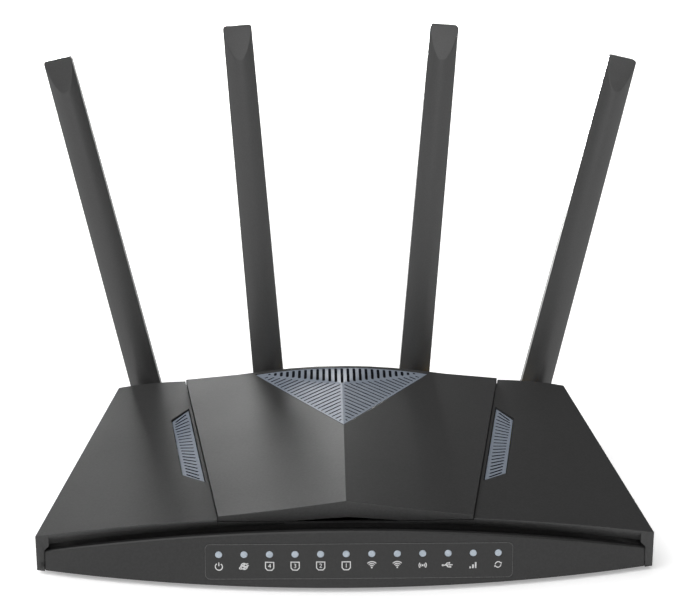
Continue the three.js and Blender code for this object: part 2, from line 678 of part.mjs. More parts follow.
function mainBoard() {
  const edge = (y) => sideX(y) - 6.2;
  const shape = polygon([
    [-edge(BOARD.front), BOARD.front], [-BOARD.noseHalf, BOARD.front], [-BOARD.noseHalf + 4, BOARD.noseFront],
    [BOARD.noseHalf - 4, BOARD.noseFront], [BOARD.noseHalf, BOARD.front], [edge(BOARD.front), BOARD.front],
    [edge(BOARD.back), BOARD.back], [-edge(BOARD.back), BOARD.back],
  ]);
  let board = upright(shape, BOARD.bottom, BOARD_TOP);
  for (const [x, y] of CASE_SCREWS) board = board.subtract(post(x, y, 5.2, 0, 20));
  for (const [x, y] of BOARD_SCREWS) board = board.subtract(post(x, y, 1.7, 0, 20));
  for (let k = 0; k < LED.count; k += 1) {
    board = board.add(box(ledX(k) - 1.6, ledX(k) + 1.6, -57.5, -54.5, BOARD_TOP - 0.1, BOARD_TOP + 1.4));
  }
  const chips = [
    [-70, 8, 9, 9], [-12, -22, 12, 12], [10, -30, 8, 10],
    [30, -38, 6, 6], [-35, -38, 10, 6], [0, 34, 16, 9],
  ];
  for (const [x, y, dx, dy] of chips) {
    board = board.add(box(x - dx / 2, x + dx / 2, y - dy / 2, y + dy / 2, BOARD_TOP - 0.1, BOARD_TOP + 1.2));
  }
  for (const [x, y, radius, height] of [[-62, 30, 4, 9], [-52, 30, 3.2, 8], [-80, 20, 3.2, 8]]) {
    board = board.add(post(x, y, radius, BOARD_TOP - 0.1, BOARD_TOP + height));
  }
  return board;
}

function shieldCan(x, y, width, depth, height) {
  const z0 = BOARD_TOP + GAP;
  const z1 = z0 + height;
  const outer = box(x - width / 2, x + width / 2, y - depth / 2, y + depth / 2, z0, z1);
  const sheet = 0.4;
  const halfX = width / 2 - sheet;
  const halfY = depth / 2 - sheet;
  const inner = box(x - halfX, x + halfX, y - halfY, y + halfY, z0 - 1, z1 - sheet);
  return outer.subtract(inner);
}

function heatSink() {
  const z0 = BOARD_TOP + 1.2 + GAP;
  const fins = [box(-24, 0, -34, -10, z0, z0 + 1.6)];
  for (let k = 0; k < 8; k += 1) fins.push(box(-24 + k * 3.3, -23.1 + k * 3.3, -34, -10, z0 + 1.5, z0 + 8));
  return joined(fins);
}

function networkJack(x) {
  const z0 = BOARD_TOP + GAP;
  const half = JACK.width / 2;
  const body = box(x - half, x + half, REAR_FACE - JACK.depth, REAR_FACE, z0, z0 + JACK.height);
  const mouthTop = z0 + JACK.height - 1.6;
  const mouth = [REAR_FACE - JACK.mouthDepth, REAR_FACE + 1];
  const cavity = box(x - JACK.mouth / 2, x + JACK.mouth / 2, ...mouth, mouthTop - JACK.mouthHeight, mouthTop);
  const latch = box(x - 3, x + 3, ...mouth, mouthTop - JACK.mouthHeight - 2, mouthTop - 1);
  return body.subtract(cavity).subtract(latch);
}

function usbPort(x) {
  const z0 = BOARD_TOP + GAP;
  const shell = box(x - 7.2, x + 7.2, REAR_FACE - 14, REAR_FACE, z0, z0 + 7);
  const mouth = box(x - 6.5, x + 6.5, REAR_FACE - 12.5, REAR_FACE + 1, z0 + 0.8, z0 + 6.2);
  return shell.subtract(mouth).add(box(x - 5.6, x + 5.6, REAR_FACE - 13, REAR_FACE - 1.5, z0 + 4, z0 + 5.6));
}

function dcJack(x) {
  const z0 = BOARD_TOP + GAP;
  const body = box(x - 4.5, x + 4.5, REAR_FACE - 14, REAR_FACE, z0, z0 + 11);
  const z = z0 + 6.2;
  const mouth = rodAlongY(x, z, 3.2, REAR_FACE - 10, REAR_FACE + 1, 24);
  const centrePin = rodAlongY(x, z, 1, REAR_FACE - 11, REAR_FACE - 0.8, 12);
  return body.subtract(mouth).add(centrePin);
}

function powerButton() {
  const face = BACK_Y + 2.8;
  const heights = [POWER.z - POWER.height, POWER.z + POWER.height];
  const cap = box(POWER.x - POWER.half, POWER.x + POWER.half, BACK_Y - 3.2, face, ...heights);
  return cap.add(box(POWER.x - 1.4, POWER.x + 1.4, BACK_Y - 7, BACK_Y - 3, POWER.z - 1.4, POWER.z + 1.4));
}

function powerSwitch() {
  const front = BACK_Y - 7 - POWER.travel - GAP;
  return box(POWER.x - 4.2, POWER.x + 4.2, front - 9, front, BOARD_TOP + GAP, POWER.z + 2.6);
}

// ---- pieces on the side walls, each in the frame of its wall ----

function wpsButton() {
  const cap = box(-3.4, 0.6, -WPS.half, WPS.half, WPS.z - WPS.height, WPS.z + WPS.height);
  return cap.add(box(-5, -3.3, -1.2, 1.2, WPS.z - 1.2, WPS.z + 1.2));
}

const wpsSwitch = () => box(-10.6, -5 - WPS.travel - GAP, -3, 3, BOARD_TOP + GAP, WPS.z + 2);

function simTray() {
  const head = box(-WALL, 0.1, -SIM.headHalf, SIM.headHalf, SIM.z - SIM.head, SIM.z + SIM.head);
  const sheet = [SIM.z - SIM.thick / 2, SIM.z + SIM.thick / 2];
  const plate = box(-SIM.length - WALL, -WALL + 0.1, -SIM.half, SIM.half, ...sheet);
  const pocket = box(-SIM.length, -WALL - 1.6, -SIM.half + 1.2, SIM.half - 1.2, SIM.z - 0.1, SIM.z + 1);
  return head.add(plate).subtract(pocket);
}

function simReader() {
  const half = SIM.half + GAP;
  const end = -SIM.length - WALL;
  const top = SIM.z + SIM.thick / 2;
  const outer = box(end - 2, -WALL - 1.8, -half - 1, half + 1, BOARD_TOP + GAP, top + 1.1);
  const slot = box(end - GAP, 0, -half, half, top - SIM.thick - GAP, top + GAP);
  return outer.subtract(slot);
}

// ---- screws and feet ----

function screw(x, y, z, headRadius, headHeight, shankRadius, length, up) {
  const head = up ? [z, z + headHeight] : [z - headHeight, z];
  const above = [z + headHeight - 0.1, z + headHeight + length];
  const below = [z - headHeight - length, z - headHeight + 0.1];
  const shank = up ? above : below;
  const drive = up ? [z - 1, z + headHeight * 0.6] : [z - headHeight * 0.6, z + 1];
  const recess = box(x - headRadius * 0.6, x + headRadius * 0.6, y - 0.25, y + 0.25, ...drive);
  const cross = box(x - 0.25, x + 0.25, y - headRadius * 0.6, y + headRadius * 0.6, ...drive);
  const whole = post(x, y, headRadius, ...head, 14).add(post(x, y, shankRadius, ...shank, 8));
  return whole.subtract(recess).subtract(cross);
}

// ---- antennas, each around its fold pin with +Z up the blade ----

function bladeRing(z, grow) {
  const share = z / ANTENNA.length;
  const cornerCut = Math.max(0, z - ANTENNA.length + 1.2) * 0.6;
  const half = lerp(ANTENNA.baseHalf, ANTENNA.tipHalf, share) - cornerCut + grow;
  const front = ANTENNA.front - grow;
  const back = ANTENNA.back + grow;
  return [
    [half, back - 0.8, z], [half - 0.8, back, z], [-half + 0.8, back, z], [-half, back - 0.8, z],
    [-half, -1.2 - grow, z], [-half * 0.7, front + 0.75, z], [-half * 0.32, front + 0.1, z],
    [half * 0.32, front + 0.1, z], [half * 0.7, front + 0.75, z], [half, -1.2 - grow, z],
  ];
}

function blade() {
  const body = loftAlongZ([0, ANTENNA.length - 1.2, ANTENNA.length].map((z) => bladeRing(z, 0)));
  const ears = rodAlongX(0, 0, KNUCKLE.ear, -ANTENNA.baseHalf, ANTENNA.baseHalf, 24);
  const tongueSpace = box(-KNUCKLE.tongueHalf - GAP, KNUCKLE.tongueHalf + GAP, -20, 20, -20, KNUCKLE.web);
  const facet = new THREE.BoxGeometry(40, 10, 60);
  facet.translate(0, -5, 30);
  facet.rotateX(-Math.atan2(2.9, 14.5));
  facet.translate(0, ANTENNA.front, ANTENNA.length - 14.5);
  const pinHole = rodAlongX(0, 0, KNUCKLE.pin + 0.1, -9, 9);
  return body.add(ears).subtract(tongueSpace).subtract(solidOf(facet)).subtract(pinHole);
}


function bladeFront() {
  const behind = box(-20, 20, ANTENNA.split - GAP / 2, 20, KNUCKLE.web + 4, 200);
  const { half, low, high } = BLADE_CAVITY;
  const cavity = box(-half, half, BLADE_CAVITY.front, 5, low, high);
  return blade().subtract(behind).subtract(cavity);
}

function bladeBack() {
  const keep = box(-20, 20, ANTENNA.split + GAP / 2, 20, KNUCKLE.web + 4 + GAP, 200);
  const { half, low, high } = BLADE_CAVITY;
  const cavity = box(-half, half, -5, ANTENNA.back - 1.3, low, high);
  return blade().intersect(keep).subtract(cavity);
}

function antennaElement() {
  const y = [-0.9, -0.1];
  const strip = box(-3.8, 3.8, ...y, BLADE_CAVITY.low + 2, BLADE_CAVITY.high - 2);
  const slot = box(-0.8, 0.8, -3, 3, BLADE_CAVITY.low + 20, BLADE_CAVITY.high - 30);
  return strip.subtract(slot);
}

function swivel() {
  const wall = BACK_Y - ANTENNA.pinY;
  const collar = rodAlongY(0, 0, COLLAR.radius, wall + GAP, COLLAR.outer, 28);
  const shaft = rodAlongY(0, 0, COLLAR.shaft, wall - WALL - GAP - 1.6, wall + GAP + 0.5, 18);
  const flange = rodAlongY(0, 0, COLLAR.flange, wall - WALL - GAP - 1.6, wall - WALL - GAP, 18);
  const tongueRound = rodAlongX(0, 0, KNUCKLE.tongue, -KNUCKLE.tongueHalf, KNUCKLE.tongueHalf, 24);
  const tongueRoot = box(-KNUCKLE.tongueHalf, KNUCKLE.tongueHalf, COLLAR.outer - 0.5, 0, -5.2, 5.2);
  const whole = joined([collar, shaft, flange, tongueRound, tongueRoot]);
  return whole.subtract(rodAlongX(0, 0, KNUCKLE.pin + 0.1, -9, 9));
}

const foldPin = () => rodAlongX(0, 0, KNUCKLE.pin, -ANTENNA.baseHalf + 0.2, ANTENNA.baseHalf - 0.2);

// ---- assembly ----

addPart('bottom_case', bottomCase(), BASE_BLACK);
addPart('top_shell', topShell(), CHARCOAL);
addPart('centre_cover', centreCover(), COVER_GREY);
addPart('centre_vent_grille', centreVent(), VENT_BLUE);
addPart('side_grille_left', sideGrille(-1), VENT_BLUE);
addPart('side_grille_right', sideGrille(1), VENT_BLUE);
addPart('front_fascia', frontFascia(), FASCIA_GREY);
addPart('indicator_label', indicatorLabel(), LABEL_GREY);
addPart('light_pipe_strip', lightPipes(), PIPE_CLEAR);

addPart('main_board', mainBoard(), BOARD_GREEN);
addPart('wifi_shield', shieldCan(-46, -10, 34, 30, 3), TIN);
addPart('modem_shield', shieldCan(44, 2, 44, 32, 3), TIN);
addPart('heat_sink', heatSink(), ALUMINIUM);
for (const { name, x } of REAR_SOCKETS.slice(0, 3)) addPart(name, networkJack(x), SOCKET_YELLOW);
addPart('wan_jack', networkJack(REAR_SOCKETS[3].x), SOCKET_BLACK);
addPart('usb_port', usbPort(REAR_SOCKETS[4].x), TIN);
addPart('dc_jack', dcJack(REAR_SOCKETS[5].x), SOCKET_BLACK);
addPart('power_button', powerButton(), BUTTON_BLACK);
addPart('power_switch', powerSwitch(), SOCKET_BLACK);
addPart('reset_switch', box(RESET.x - 3, RESET.x + 3, 50, 55.5, BOARD_TOP + GAP, RESET.z + 2), TIN);

root.add(simFrame, wpsFrame);
addPart('wps_button', wpsButton(), BUTTON_BLACK, wpsFrame);
addPart('wps_switch', wpsSwitch(), SOCKET_BLACK, wpsFrame);
addPart('sim_tray', simTray(), BUTTON_BLACK, simFrame);
addPart('sim_reader', simReader(), TIN, simFrame);

FEET.forEach(([x, y], k) => {
  addPart(`rubber_foot_${k + 1}`, post(x, y, FOOT.radius, 0, FOOT.height, 28), RUBBER);
});
CASE_SCREWS.forEach(([x, y], k) => {
  addPart(`case_screw_${k + 1}`, screw(x, y, BASE_Z + 0.1, 2.9, 1, 1.3, 8, true), STEEL);
});
BOARD_SCREWS.forEach(([x, y], k) => {
  addPart(`board_screw_${k + 1}`, screw(x, y, BOARD_TOP + 1.5, 2.7, 1.2, 1, 4, false), STEEL);
});

for (const { name, x, z, splay } of ANTENNAS) {
  const frame = new THREE.Group();
  frame.position.set(x, ANTENNA.pinY, z);
  frame.rotation.y = degToRad(splay);
  root.add(frame);
  addPart(`${name}_swivel`, swivel(), ANTENNA_GREY, frame);
  addPart(`${name}_pin`, foldPin(), STEEL, frame);
  addPart(`${name}_front_shell`, bladeFront(), ANTENNA_GREY, frame);
  addPart(`${name}_back_cover`, bladeBack(), ANTENNA_GREY, frame);
  addPart(`${name}_element`, antennaElement(), COPPER, frame);
}

export default root;
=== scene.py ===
# The looks of a desktop cellular Wi-Fi router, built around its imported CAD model.
# Metres, +Z up, +X to the right and +Y to the back of the case.
import json
import math

import bmesh  # noqa: E402
import bpy  # noqa: E402
from mathutils import Matrix, Vector  # noqa: E402

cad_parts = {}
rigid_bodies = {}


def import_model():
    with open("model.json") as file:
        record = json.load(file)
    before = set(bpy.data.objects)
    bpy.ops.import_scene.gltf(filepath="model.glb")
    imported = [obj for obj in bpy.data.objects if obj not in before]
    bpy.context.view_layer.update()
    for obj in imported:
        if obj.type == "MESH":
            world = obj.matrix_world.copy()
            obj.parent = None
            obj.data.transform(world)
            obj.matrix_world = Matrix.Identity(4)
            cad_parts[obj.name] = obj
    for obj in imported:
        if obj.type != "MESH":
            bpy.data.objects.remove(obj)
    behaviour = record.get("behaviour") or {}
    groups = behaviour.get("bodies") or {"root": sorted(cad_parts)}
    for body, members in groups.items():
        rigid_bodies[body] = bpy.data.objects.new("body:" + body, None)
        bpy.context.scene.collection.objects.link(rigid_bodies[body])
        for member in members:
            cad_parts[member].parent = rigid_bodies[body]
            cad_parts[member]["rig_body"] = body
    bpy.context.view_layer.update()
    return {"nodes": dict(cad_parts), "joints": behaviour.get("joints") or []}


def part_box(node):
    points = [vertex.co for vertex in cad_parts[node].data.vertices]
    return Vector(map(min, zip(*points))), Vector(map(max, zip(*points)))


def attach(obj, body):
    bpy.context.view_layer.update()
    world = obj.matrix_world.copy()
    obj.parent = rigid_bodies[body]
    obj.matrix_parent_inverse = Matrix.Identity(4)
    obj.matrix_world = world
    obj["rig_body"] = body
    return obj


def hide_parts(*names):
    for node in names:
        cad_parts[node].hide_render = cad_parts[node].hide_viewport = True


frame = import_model()
nodes = frame["nodes"]
mm = 0.001
print("frame loaded", len(nodes), "nodes")


# ---- node trees ----

class Wire:
    # A node's number that takes part in ordinary arithmetic, which adds Math nodes.
    def __init__(self, graph, socket):
        self.graph = graph
        self.socket = socket

    def combine(self, operation, *values):
        made = self.graph.node("ShaderNodeMath", {"operation": operation}, dict(enumerate(values)))
        return Wire(self.graph, made.outputs[0])

    def __add__(self, other):
        return self.combine("ADD", self, other)

    __radd__ = __add__

    def __sub__(self, other):
        return self.combine("SUBTRACT", self, other)

    def __rsub__(self, other):
        return self.combine("SUBTRACT", other, self)

    def __mul__(self, other):
        return self.combine("MULTIPLY", self, other)

    __rmul__ = __mul__


class Graph:
    # A node tree; node() adds any node from its type, its settings and its inputs' values or links.
    def __init__(self, tree):
        self.tree = tree

    def node(self, kind, settings=None, inputs=None):
        made = self.tree.nodes.new(kind)
        for name, value in (settings or {}).items():
            setattr(made, name, value)
        for name, value in (inputs or {}).items():
            if isinstance(value, Wire):
                self.tree.links.new(value.socket, made.inputs[name])
            else:
                made.inputs[name].default_value = value
        return made

    def out(self, kind, settings=None, inputs=None, socket=0):
        return Wire(self, self.node(kind, settings, inputs).outputs[socket])


class Paint(Graph):
    # A material's node tree, with the patterns that the finishes below are made of.
    def __init__(self, name):
        self.material = bpy.data.materials.new(name)
        self.material.use_nodes = True
        super().__init__(self.material.node_tree)
        self.tree.nodes.clear()
        self.place = self.out("ShaderNodeTexCoord", socket="Object")

    def noise(self, size, detail=2.0, roughness=0.5):
        inputs = {"Vector": self.place, "Scale": 1 / size, "Detail": detail, "Roughness": roughness}
        return self.out("ShaderNodeTexNoise", inputs=inputs)

    def cells(self, size):
        inputs = {"Vector": self.place, "Scale": 1 / size}
        return self.out("ShaderNodeTexVoronoi", {"feature": "F1"}, inputs, "Distance")

    def ramp(self, value, low, high):
        inputs = {0: value, 1: low, 2: high}
        return self.out("ShaderNodeMapRange", {"interpolation_type": "SMOOTHSTEP"}, inputs)

    def blend(self, share, first, second):
        made = self.node("ShaderNodeMix", {"data_type": "RGBA"})
        for socket, value in ((made.inputs[0], share), (made.inputs[6], first), (made.inputs[7], second)):
            if isinstance(value, Wire):
                self.tree.links.new(value.socket, socket)
            else:
                socket.default_value = value
        return Wire(self, made.outputs[2])

    def bump(self, height, depth):
        return self.out("ShaderNodeBump", inputs={"Height": height, "Distance": depth, "Strength": 1.0})

    def finish(self, colour, roughness, normal=None, metallic=0.0, level=0.5, coat=0.0, glow=None):
        inputs = {
            "Base Color": colour, "Roughness": roughness, "Metallic": metallic,
            "Specular IOR Level": level, "Coat Weight": coat,
        }
        if normal is not None:
            inputs["Normal"] = normal
        if glow is not None:
            inputs["Emission Color"], inputs["Emission Strength"] = glow
        shader = self.node("ShaderNodeBsdfPrincipled", inputs=inputs)
        made = self.node("ShaderNodeOutputMaterial")
        self.tree.links.new(shader.outputs[0], made.inputs["Surface"])
        return self.material


def shade(value, tint=(0.0, 0.0, 0.0)):
    # A grey of a given strength, from 0 to 255 as shown on a screen, shifted by a tint.
    def linear(c):
        return c / 12.92 if c <= 0.04045 else ((c + 0.055) / 1.055) ** 2.4

    return tuple(linear(min(255, max(0, value + t)) / 255) for t in tint) + (1.0,)


# ---- finishes ----

# Moulded plastic: fine spark-eroded grain, faint mottling and slightly uneven gloss.
def grained(name, grey, tint=(0, 0, 0), roughness=0.55, grain=0.00045, depth=0.000018, mottle=5, level=0.5):
    paint = Paint(name)
    fine = paint.noise(grain, 3.0, 0.6)
    pits = paint.ramp(paint.cells(grain * 2.2), 0.1, 0.75)
    cloud = paint.noise(0.035, 3.0)
    speck = paint.ramp(paint.noise(0.0009, 2.0, 0.7), 0.35, 0.65)
    share = speck * 0.65 + cloud * 0.35
    colour = paint.blend(share, shade(grey - mottle, tint), shade(grey + mottle, tint))
    gloss = roughness + (fine - 0.5) * 0.18 + (cloud - 0.5) * 0.12
    return paint.finish(colour, gloss, paint.bump(fine * 0.7 + pits * 0.3, depth), level=level)


def metallic(name, colour, roughness, brushed=0.0, grain=0.0006):
    paint = Paint(name)
    smear = paint.noise(0.012, 3.0)
    fine = paint.noise(grain, 3.0, 0.6)
    lines = paint.noise(0.00025, 1.0) * brushed + fine * (1 - brushed)
    dull = tuple(c * 0.72 for c in colour[:3]) + (1.0,)
    tone = paint.blend(paint.ramp(smear, 0.35, 0.75), colour, dull)
    return paint.finish(tone, roughness + (smear - 0.5) * 0.25, paint.bump(lines, 0.000008), metallic=1.0)


def rubber(name):
    paint = Paint(name)
    dust = paint.ramp(paint.noise(0.004, 4.0, 0.65), 0.5, 0.75)
    colour = paint.blend(dust, shade(26), shade(44, (2, 1, 0)))
    return paint.finish(colour, 0.82 + dust * 0.12, paint.bump(paint.noise(0.0005, 3.0), 0.00003))


# A circuit board: green resist over traces, which show as slightly lighter lines.
def boardGreen(name):
    paint = Paint(name)
    grid = paint.out("ShaderNodeTexBrick", {"offset": 0.37}, {
        "Vector": paint.place, "Scale": 90.0, "Mortar Size": 0.05, "Bias": 0.2,
        "Color1": (0.0, 0.0, 0.0, 1.0), "Color2": (0.3, 0.3, 0.3, 1.0), "Mortar": (1.0, 1.0, 1.0, 1.0),
    }, "Color")
    dots = 1 - paint.ramp(paint.cells(0.0045), 0.07, 0.1)
    colour = paint.blend(grid, shade(40, (-22, 22, -6)), shade(58, (-26, 26, -8)))
    plated = paint.blend(dots * 0.8, colour, (0.55, 0.42, 0.18, 1.0))
    gloss = 0.38 + paint.noise(0.01) * 0.15
    return paint.finish(plated, gloss, paint.bump(dots * 1.4, 0.00003))


# The antenna's plastic, with a faint grain along the blade.
def antennaPlastic(name):
    paint = Paint(name)
    fine = paint.noise(0.0005, 3.0, 0.6)
    cloud = paint.noise(0.03, 3.0)
    colour = paint.blend(paint.ramp(fine, 0.3, 0.7) * 0.6 + cloud * 0.4, shade(52), shade(62))
    gloss = 0.36 + (fine - 0.5) * 0.12 + (cloud - 0.5) * 0.06
    return paint.finish(colour, gloss, paint.bump(fine, 0.000008), level=0.6)


# Moulded light guide: milky, with faint flow streaks.
def clearPipe(name):
    paint = Paint(name)
    streak = paint.noise(0.002, 4.0)
    colour = paint.blend(streak, shade(168, (-14, 0, 12)), shade(198, (-8, 0, 10)))
    return paint.finish(colour, 0.22 + streak * 0.2, paint.bump(streak, 0.00001), coat=0.3)


# A flat finish with worn patches, for print; also used for the lighter line round the label, which is a
# painted highlight.
def printAndPaintedHighlight(name, grey):
    paint = Paint(name)
    wear = paint.ramp(paint.noise(0.0005, 3.0), 0.25, 0.6)
    colour = paint.blend(wear, shade(grey - 26), shade(grey))
    return paint.finish(colour, 0.6 + wear * 0.1, paint.bump(wear, 0.000004))


finishes = {
    "case_charcoal": grained("case_charcoal", 49),
    "cover_grey": grained("cover_grey", 51),
    "vent_blue_grey": grained("vent_blue_grey", 138, (-9, -1, 11), roughness=0.5, depth=0.00001, mottle=5),
    "fascia_grey": grained("fascia_grey", 34, roughness=0.5, depth=0.000012, mottle=5),
    "label_grey": grained("label_grey", 34, roughness=0.45, grain=0.0007, depth=0.000005, mottle=3),
    "pipe_clear": clearPipe("pipe_clear"),
    "base_black": grained("base_black", 46, roughness=0.68, grain=0.0006, depth=0.00003),
    "foot_rubber": rubber("foot_rubber"),
    "board_green": boardGreen("board_green"),
    "socket_black": grained("socket_black", 30, roughness=0.45, depth=0.000006, mottle=4),
    "socket_yellow": grained("socket_yellow", 160, (46, 8, -118), roughness=0.42, depth=0.000006, mottle=6),
    "button_black": grained("button_black", 40, roughness=0.45, depth=0.000008, mottle=4),
    "tin_plate": metallic("tin_plate", (0.62, 0.63, 0.64, 1.0), 0.34),
    "screw_steel": metallic("screw_steel", (0.42, 0.42, 0.43, 1.0), 0.38, grain=0.0003),
    "sink_aluminium": metallic("sink_aluminium", (0.55, 0.56, 0.58, 1.0), 0.42, brushed=0.7),
    "element_copper": metallic("element_copper", (0.72, 0.36, 0.17, 1.0), 0.35),
    "antenna_grey": antennaPlastic("antenna_grey"),
}
# A dark blue-grey for the slot walls: painted shade, standing in for the shadow inside the vent slots.
slotPaintedShade = grained("slot_painted_shade", 44, (-4, 0, 8), roughness=0.7, mottle=4, level=0.2)
gold = metallic("contact_gold", (0.78, 0.55, 0.2, 1.0), 0.28, grain=0.0003)
printWhite = printAndPaintedHighlight("print_white", 222)
# A lighter grey for the line round the label: a painted highlight for the light caught by the label's
# bevelled edge.
paintedRimHighlight = printAndPaintedHighlight("painted_rim_highlight", 84)
slotOf = {name: node.data.materials[0].name for name, node in nodes.items()}
bodyOf = {name: node["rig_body"] for name, node in nodes.items()}
print("finishes made", len(bpy.data.materials))


# ---- meshes ----

def shown(name, mesh, body, slot, material=None):
    mesh.materials.clear()
    mesh.materials.append(material or finishes[slot])
    made = bpy.data.objects.new(name, mesh)
    bpy.context.scene.collection.objects.link(made)
    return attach(made, body)


def meshOf(points, faces):
    mesh = bpy.data.meshes.new("mesh")
    mesh.from_pydata([tuple(c * mm for c in p) for p in points], [], faces)
    return mesh


def edgesOf(lines, attributes=None):
    mesh = bpy.data.meshes.new("lines")
    points = [p for line in lines for p in line]
    edges = []
    start = 0
    for line in lines:
        edges += [(start + k, start + k + 1) for k in range(len(line) - 1)]
        start += len(line)
    mesh.from_pydata([tuple(c * mm for c in p) for p in points], edges, [])
    for name, values in (attributes or {}).items():
        mesh.attributes.new(name, "FLOAT", "POINT").data.foreach_set("value", values)
    return mesh


# A mesh as its modifiers leave it; each modifier is its type, then its settings.
def modified(mesh, *modifiers):
    holder = bpy.data.objects.new("holder", mesh)
    bpy.context.scene.collection.objects.link(holder)
    for kind, settings in modifiers:
        added = holder.modifiers.new(kind.lower(), kind)
        for name, value in settings.items():
            if kind == "NODES" and name != "node_group":
                added[name] = value
            else:
                setattr(added, name, value)
    bpy.context.view_layer.update()
    ready = holder.evaluated_get(bpy.context.evaluated_depsgraph_get())
    made = bpy.data.meshes.new_from_object(ready)
    bpy.data.objects.remove(holder)
    return made


def welded(mesh, distance=0.003, flatten=0.5):
    work = bmesh.new()
    work.from_mesh(mesh)
    bmesh.ops.remove_doubles(work, verts=work.verts, dist=distance * mm)
    if flatten:
        bmesh.ops.dissolve_limit(work, angle_limit=math.radians(flatten), verts=work.verts, edges=work.edges)
    bmesh.ops.recalc_face_normals(work, faces=work.faces)
    work.to_mesh(mesh)
    work.free()
    return mesh


# Gives the faces that lie on a height field its exact normals; elsewhere the mesh keeps its own.
def fieldNormals(mesh, height, near=0.06, nudge=0.05):
    normals = [loop.vector.copy() for loop in mesh.corner_normals]
    step = 0.02
    for face in mesh.polygons:
        if face.normal.z < 0.6:
            continue
        centre = face.center / mm
        for k in face.loop_indices:
            at = mesh.vertices[mesh.loops[k].vertex_index].co / mm
            inward = centre - at
            x, y = (at + inward.normalized() * nudge).xy
            if abs(at.z - height(at.x, at.y)) > near:
                continue
            slopeX = (height(x + step, y) - height(x - step, y)) / (2 * step)
            slopeY = (height(x, y + step) - height(x, y - step)) / (2 * step)
            normals[k] = Vector((-slopeX, -slopeY, 1)).normalized()
    mesh.normals_split_custom_set(normals)
    return mesh


# Softens the edges of a mesh and shades it smooth, with its broad faces kept flat.
def softened(mesh, width, segments=2, angle=30, sharp=38):
    mesh.polygons.foreach_set("use_smooth", [True] * len(mesh.polygons))
    bevel = {
        "width": width * mm, "segments": segments,
        "limit_method": "ANGLE", "angle_limit": math.radians(angle),
        "use_clamp_overlap": False, "miter_outer": "MITER_ARC",
    }
    made = modified(mesh, ("BEVEL", bevel)) if width else mesh
    made.polygons.foreach_set("use_smooth", [True] * len(made.polygons))
    made.set_sharp_from_angle(angle=math.radians(sharp))
    return modified(made, ("WEIGHTED_NORMAL", {"mode": "FACE_AREA", "keep_sharp": True, "weight": 60}))


def carved(mesh, cutter, operation="DIFFERENCE"):
    tool = bpy.data.objects.new("tool", cutter)
    bpy.context.scene.collection.objects.link(tool)
    made = modified(mesh, ("BOOLEAN", {"object": tool, "operation": operation, "solver": "MANIFOLD"}))
    bpy.data.objects.remove(tool)
    return made


def boxMesh(low, high):
    work = bmesh.new()
    bmesh.ops.create_cube(work, size=1)
    for v in work.verts:
        v.co = Vector((low[k] + (v.co[k] + 0.5) * (high[k] - low[k])) * mm for k in range(3))
    mesh = bpy.data.meshes.new("box")
    work.to_mesh(mesh)
    work.free()
    return mesh


def rodAlongX(radius, half, sides=64):
    work = bmesh.new()
    turn = Matrix.Rotation(math.pi / 2, 4, "Y")
    bmesh.ops.create_cone(
        work, cap_ends=True, segments=sides, depth=2 * half * mm, matrix=turn,
        radius1=radius * mm, radius2=radius * mm)
    mesh = bpy.data.meshes.new("rod")
    work.to_mesh(mesh)
    work.free()
    return mesh


# ---- geometry nodes ----

def treeOf(name, sockets):
    tree = bpy.data.node_groups.new(name, "GeometryNodeTree")
    tree.interface.new_socket("Geometry", in_out="INPUT", socket_type="NodeSocketGeometry")
    keys = {}
    for socket, (kind, value) in sockets.items():
        made = tree.interface.new_socket(socket, in_out="INPUT", socket_type=kind)
        if value is not None:
            made.default_value = value
        keys[socket] = made.identifier
    tree.interface.new_socket("Geometry", in_out="OUTPUT", socket_type="NodeSocketGeometry")
    graph = Graph(tree)
    entry = graph.node("NodeGroupInput")
    inputs = {socket.name: Wire(graph, socket) for socket in entry.outputs if socket.name}
    return tree, graph, inputs, keys


def closeTree(graph, geometry, material):
    whole = graph.out("GeometryNodeRealizeInstances", inputs={0: geometry})
    painted = graph.out("GeometryNodeSetMaterial", inputs={"Geometry": whole, "Material": material})
    graph.node("NodeGroupOutput", inputs={0: painted})


# Bars along the given lines, narrowed by their points' taper, so that slots get rounded ends.
def barTree():
    sockets = {
        "Width": ("NodeSocketFloat", 0.8 * mm),
        "Height": ("NodeSocketFloat", 12 * mm),
        "Material": ("NodeSocketMaterial", None),
    }
    tree, graph, given, keys = treeOf("bars", sockets)
    line = graph.out("GeometryNodeMeshToCurve", inputs={0: given["Geometry"]})
    level = graph.out("GeometryNodeSetCurveNormal", {"mode": "Z_UP"}, {0: line})
    size = {name: given[name] for name in ("Width", "Height")}
    section = graph.out("GeometryNodeCurvePrimitiveQuadrilateral", inputs=size)
    taper = graph.out("GeometryNodeInputNamedAttribute", {"data_type": "FLOAT"}, {"Name": "taper"})
    swept = {0: level, 1: section, "Scale": taper, "Fill Caps": True}
    closeTree(graph, graph.out("GeometryNodeCurveToMesh", inputs=swept), given["Material"])
    return tree, keys


# One unit placed at every point.
def repeatTree():
    sockets = {"Unit": ("NodeSocketObject", None), "Material": ("NodeSocketMaterial", None)}
    tree, graph, given, keys = treeOf("repeats", sockets)
    unit = graph.node("GeometryNodeObjectInfo", {"transform_space": "ORIGINAL"}, {"Object": given["Unit"]})
    copies = {0: given["Geometry"], "Instance": Wire(graph, unit.outputs["Geometry"])}
    placed = graph.out("GeometryNodeInstanceOnPoints", inputs=copies)
    closeTree(graph, placed, given["Material"])
    return tree, keys


bars, barKeys = barTree()
repeats, repeatKeys = repeatTree()


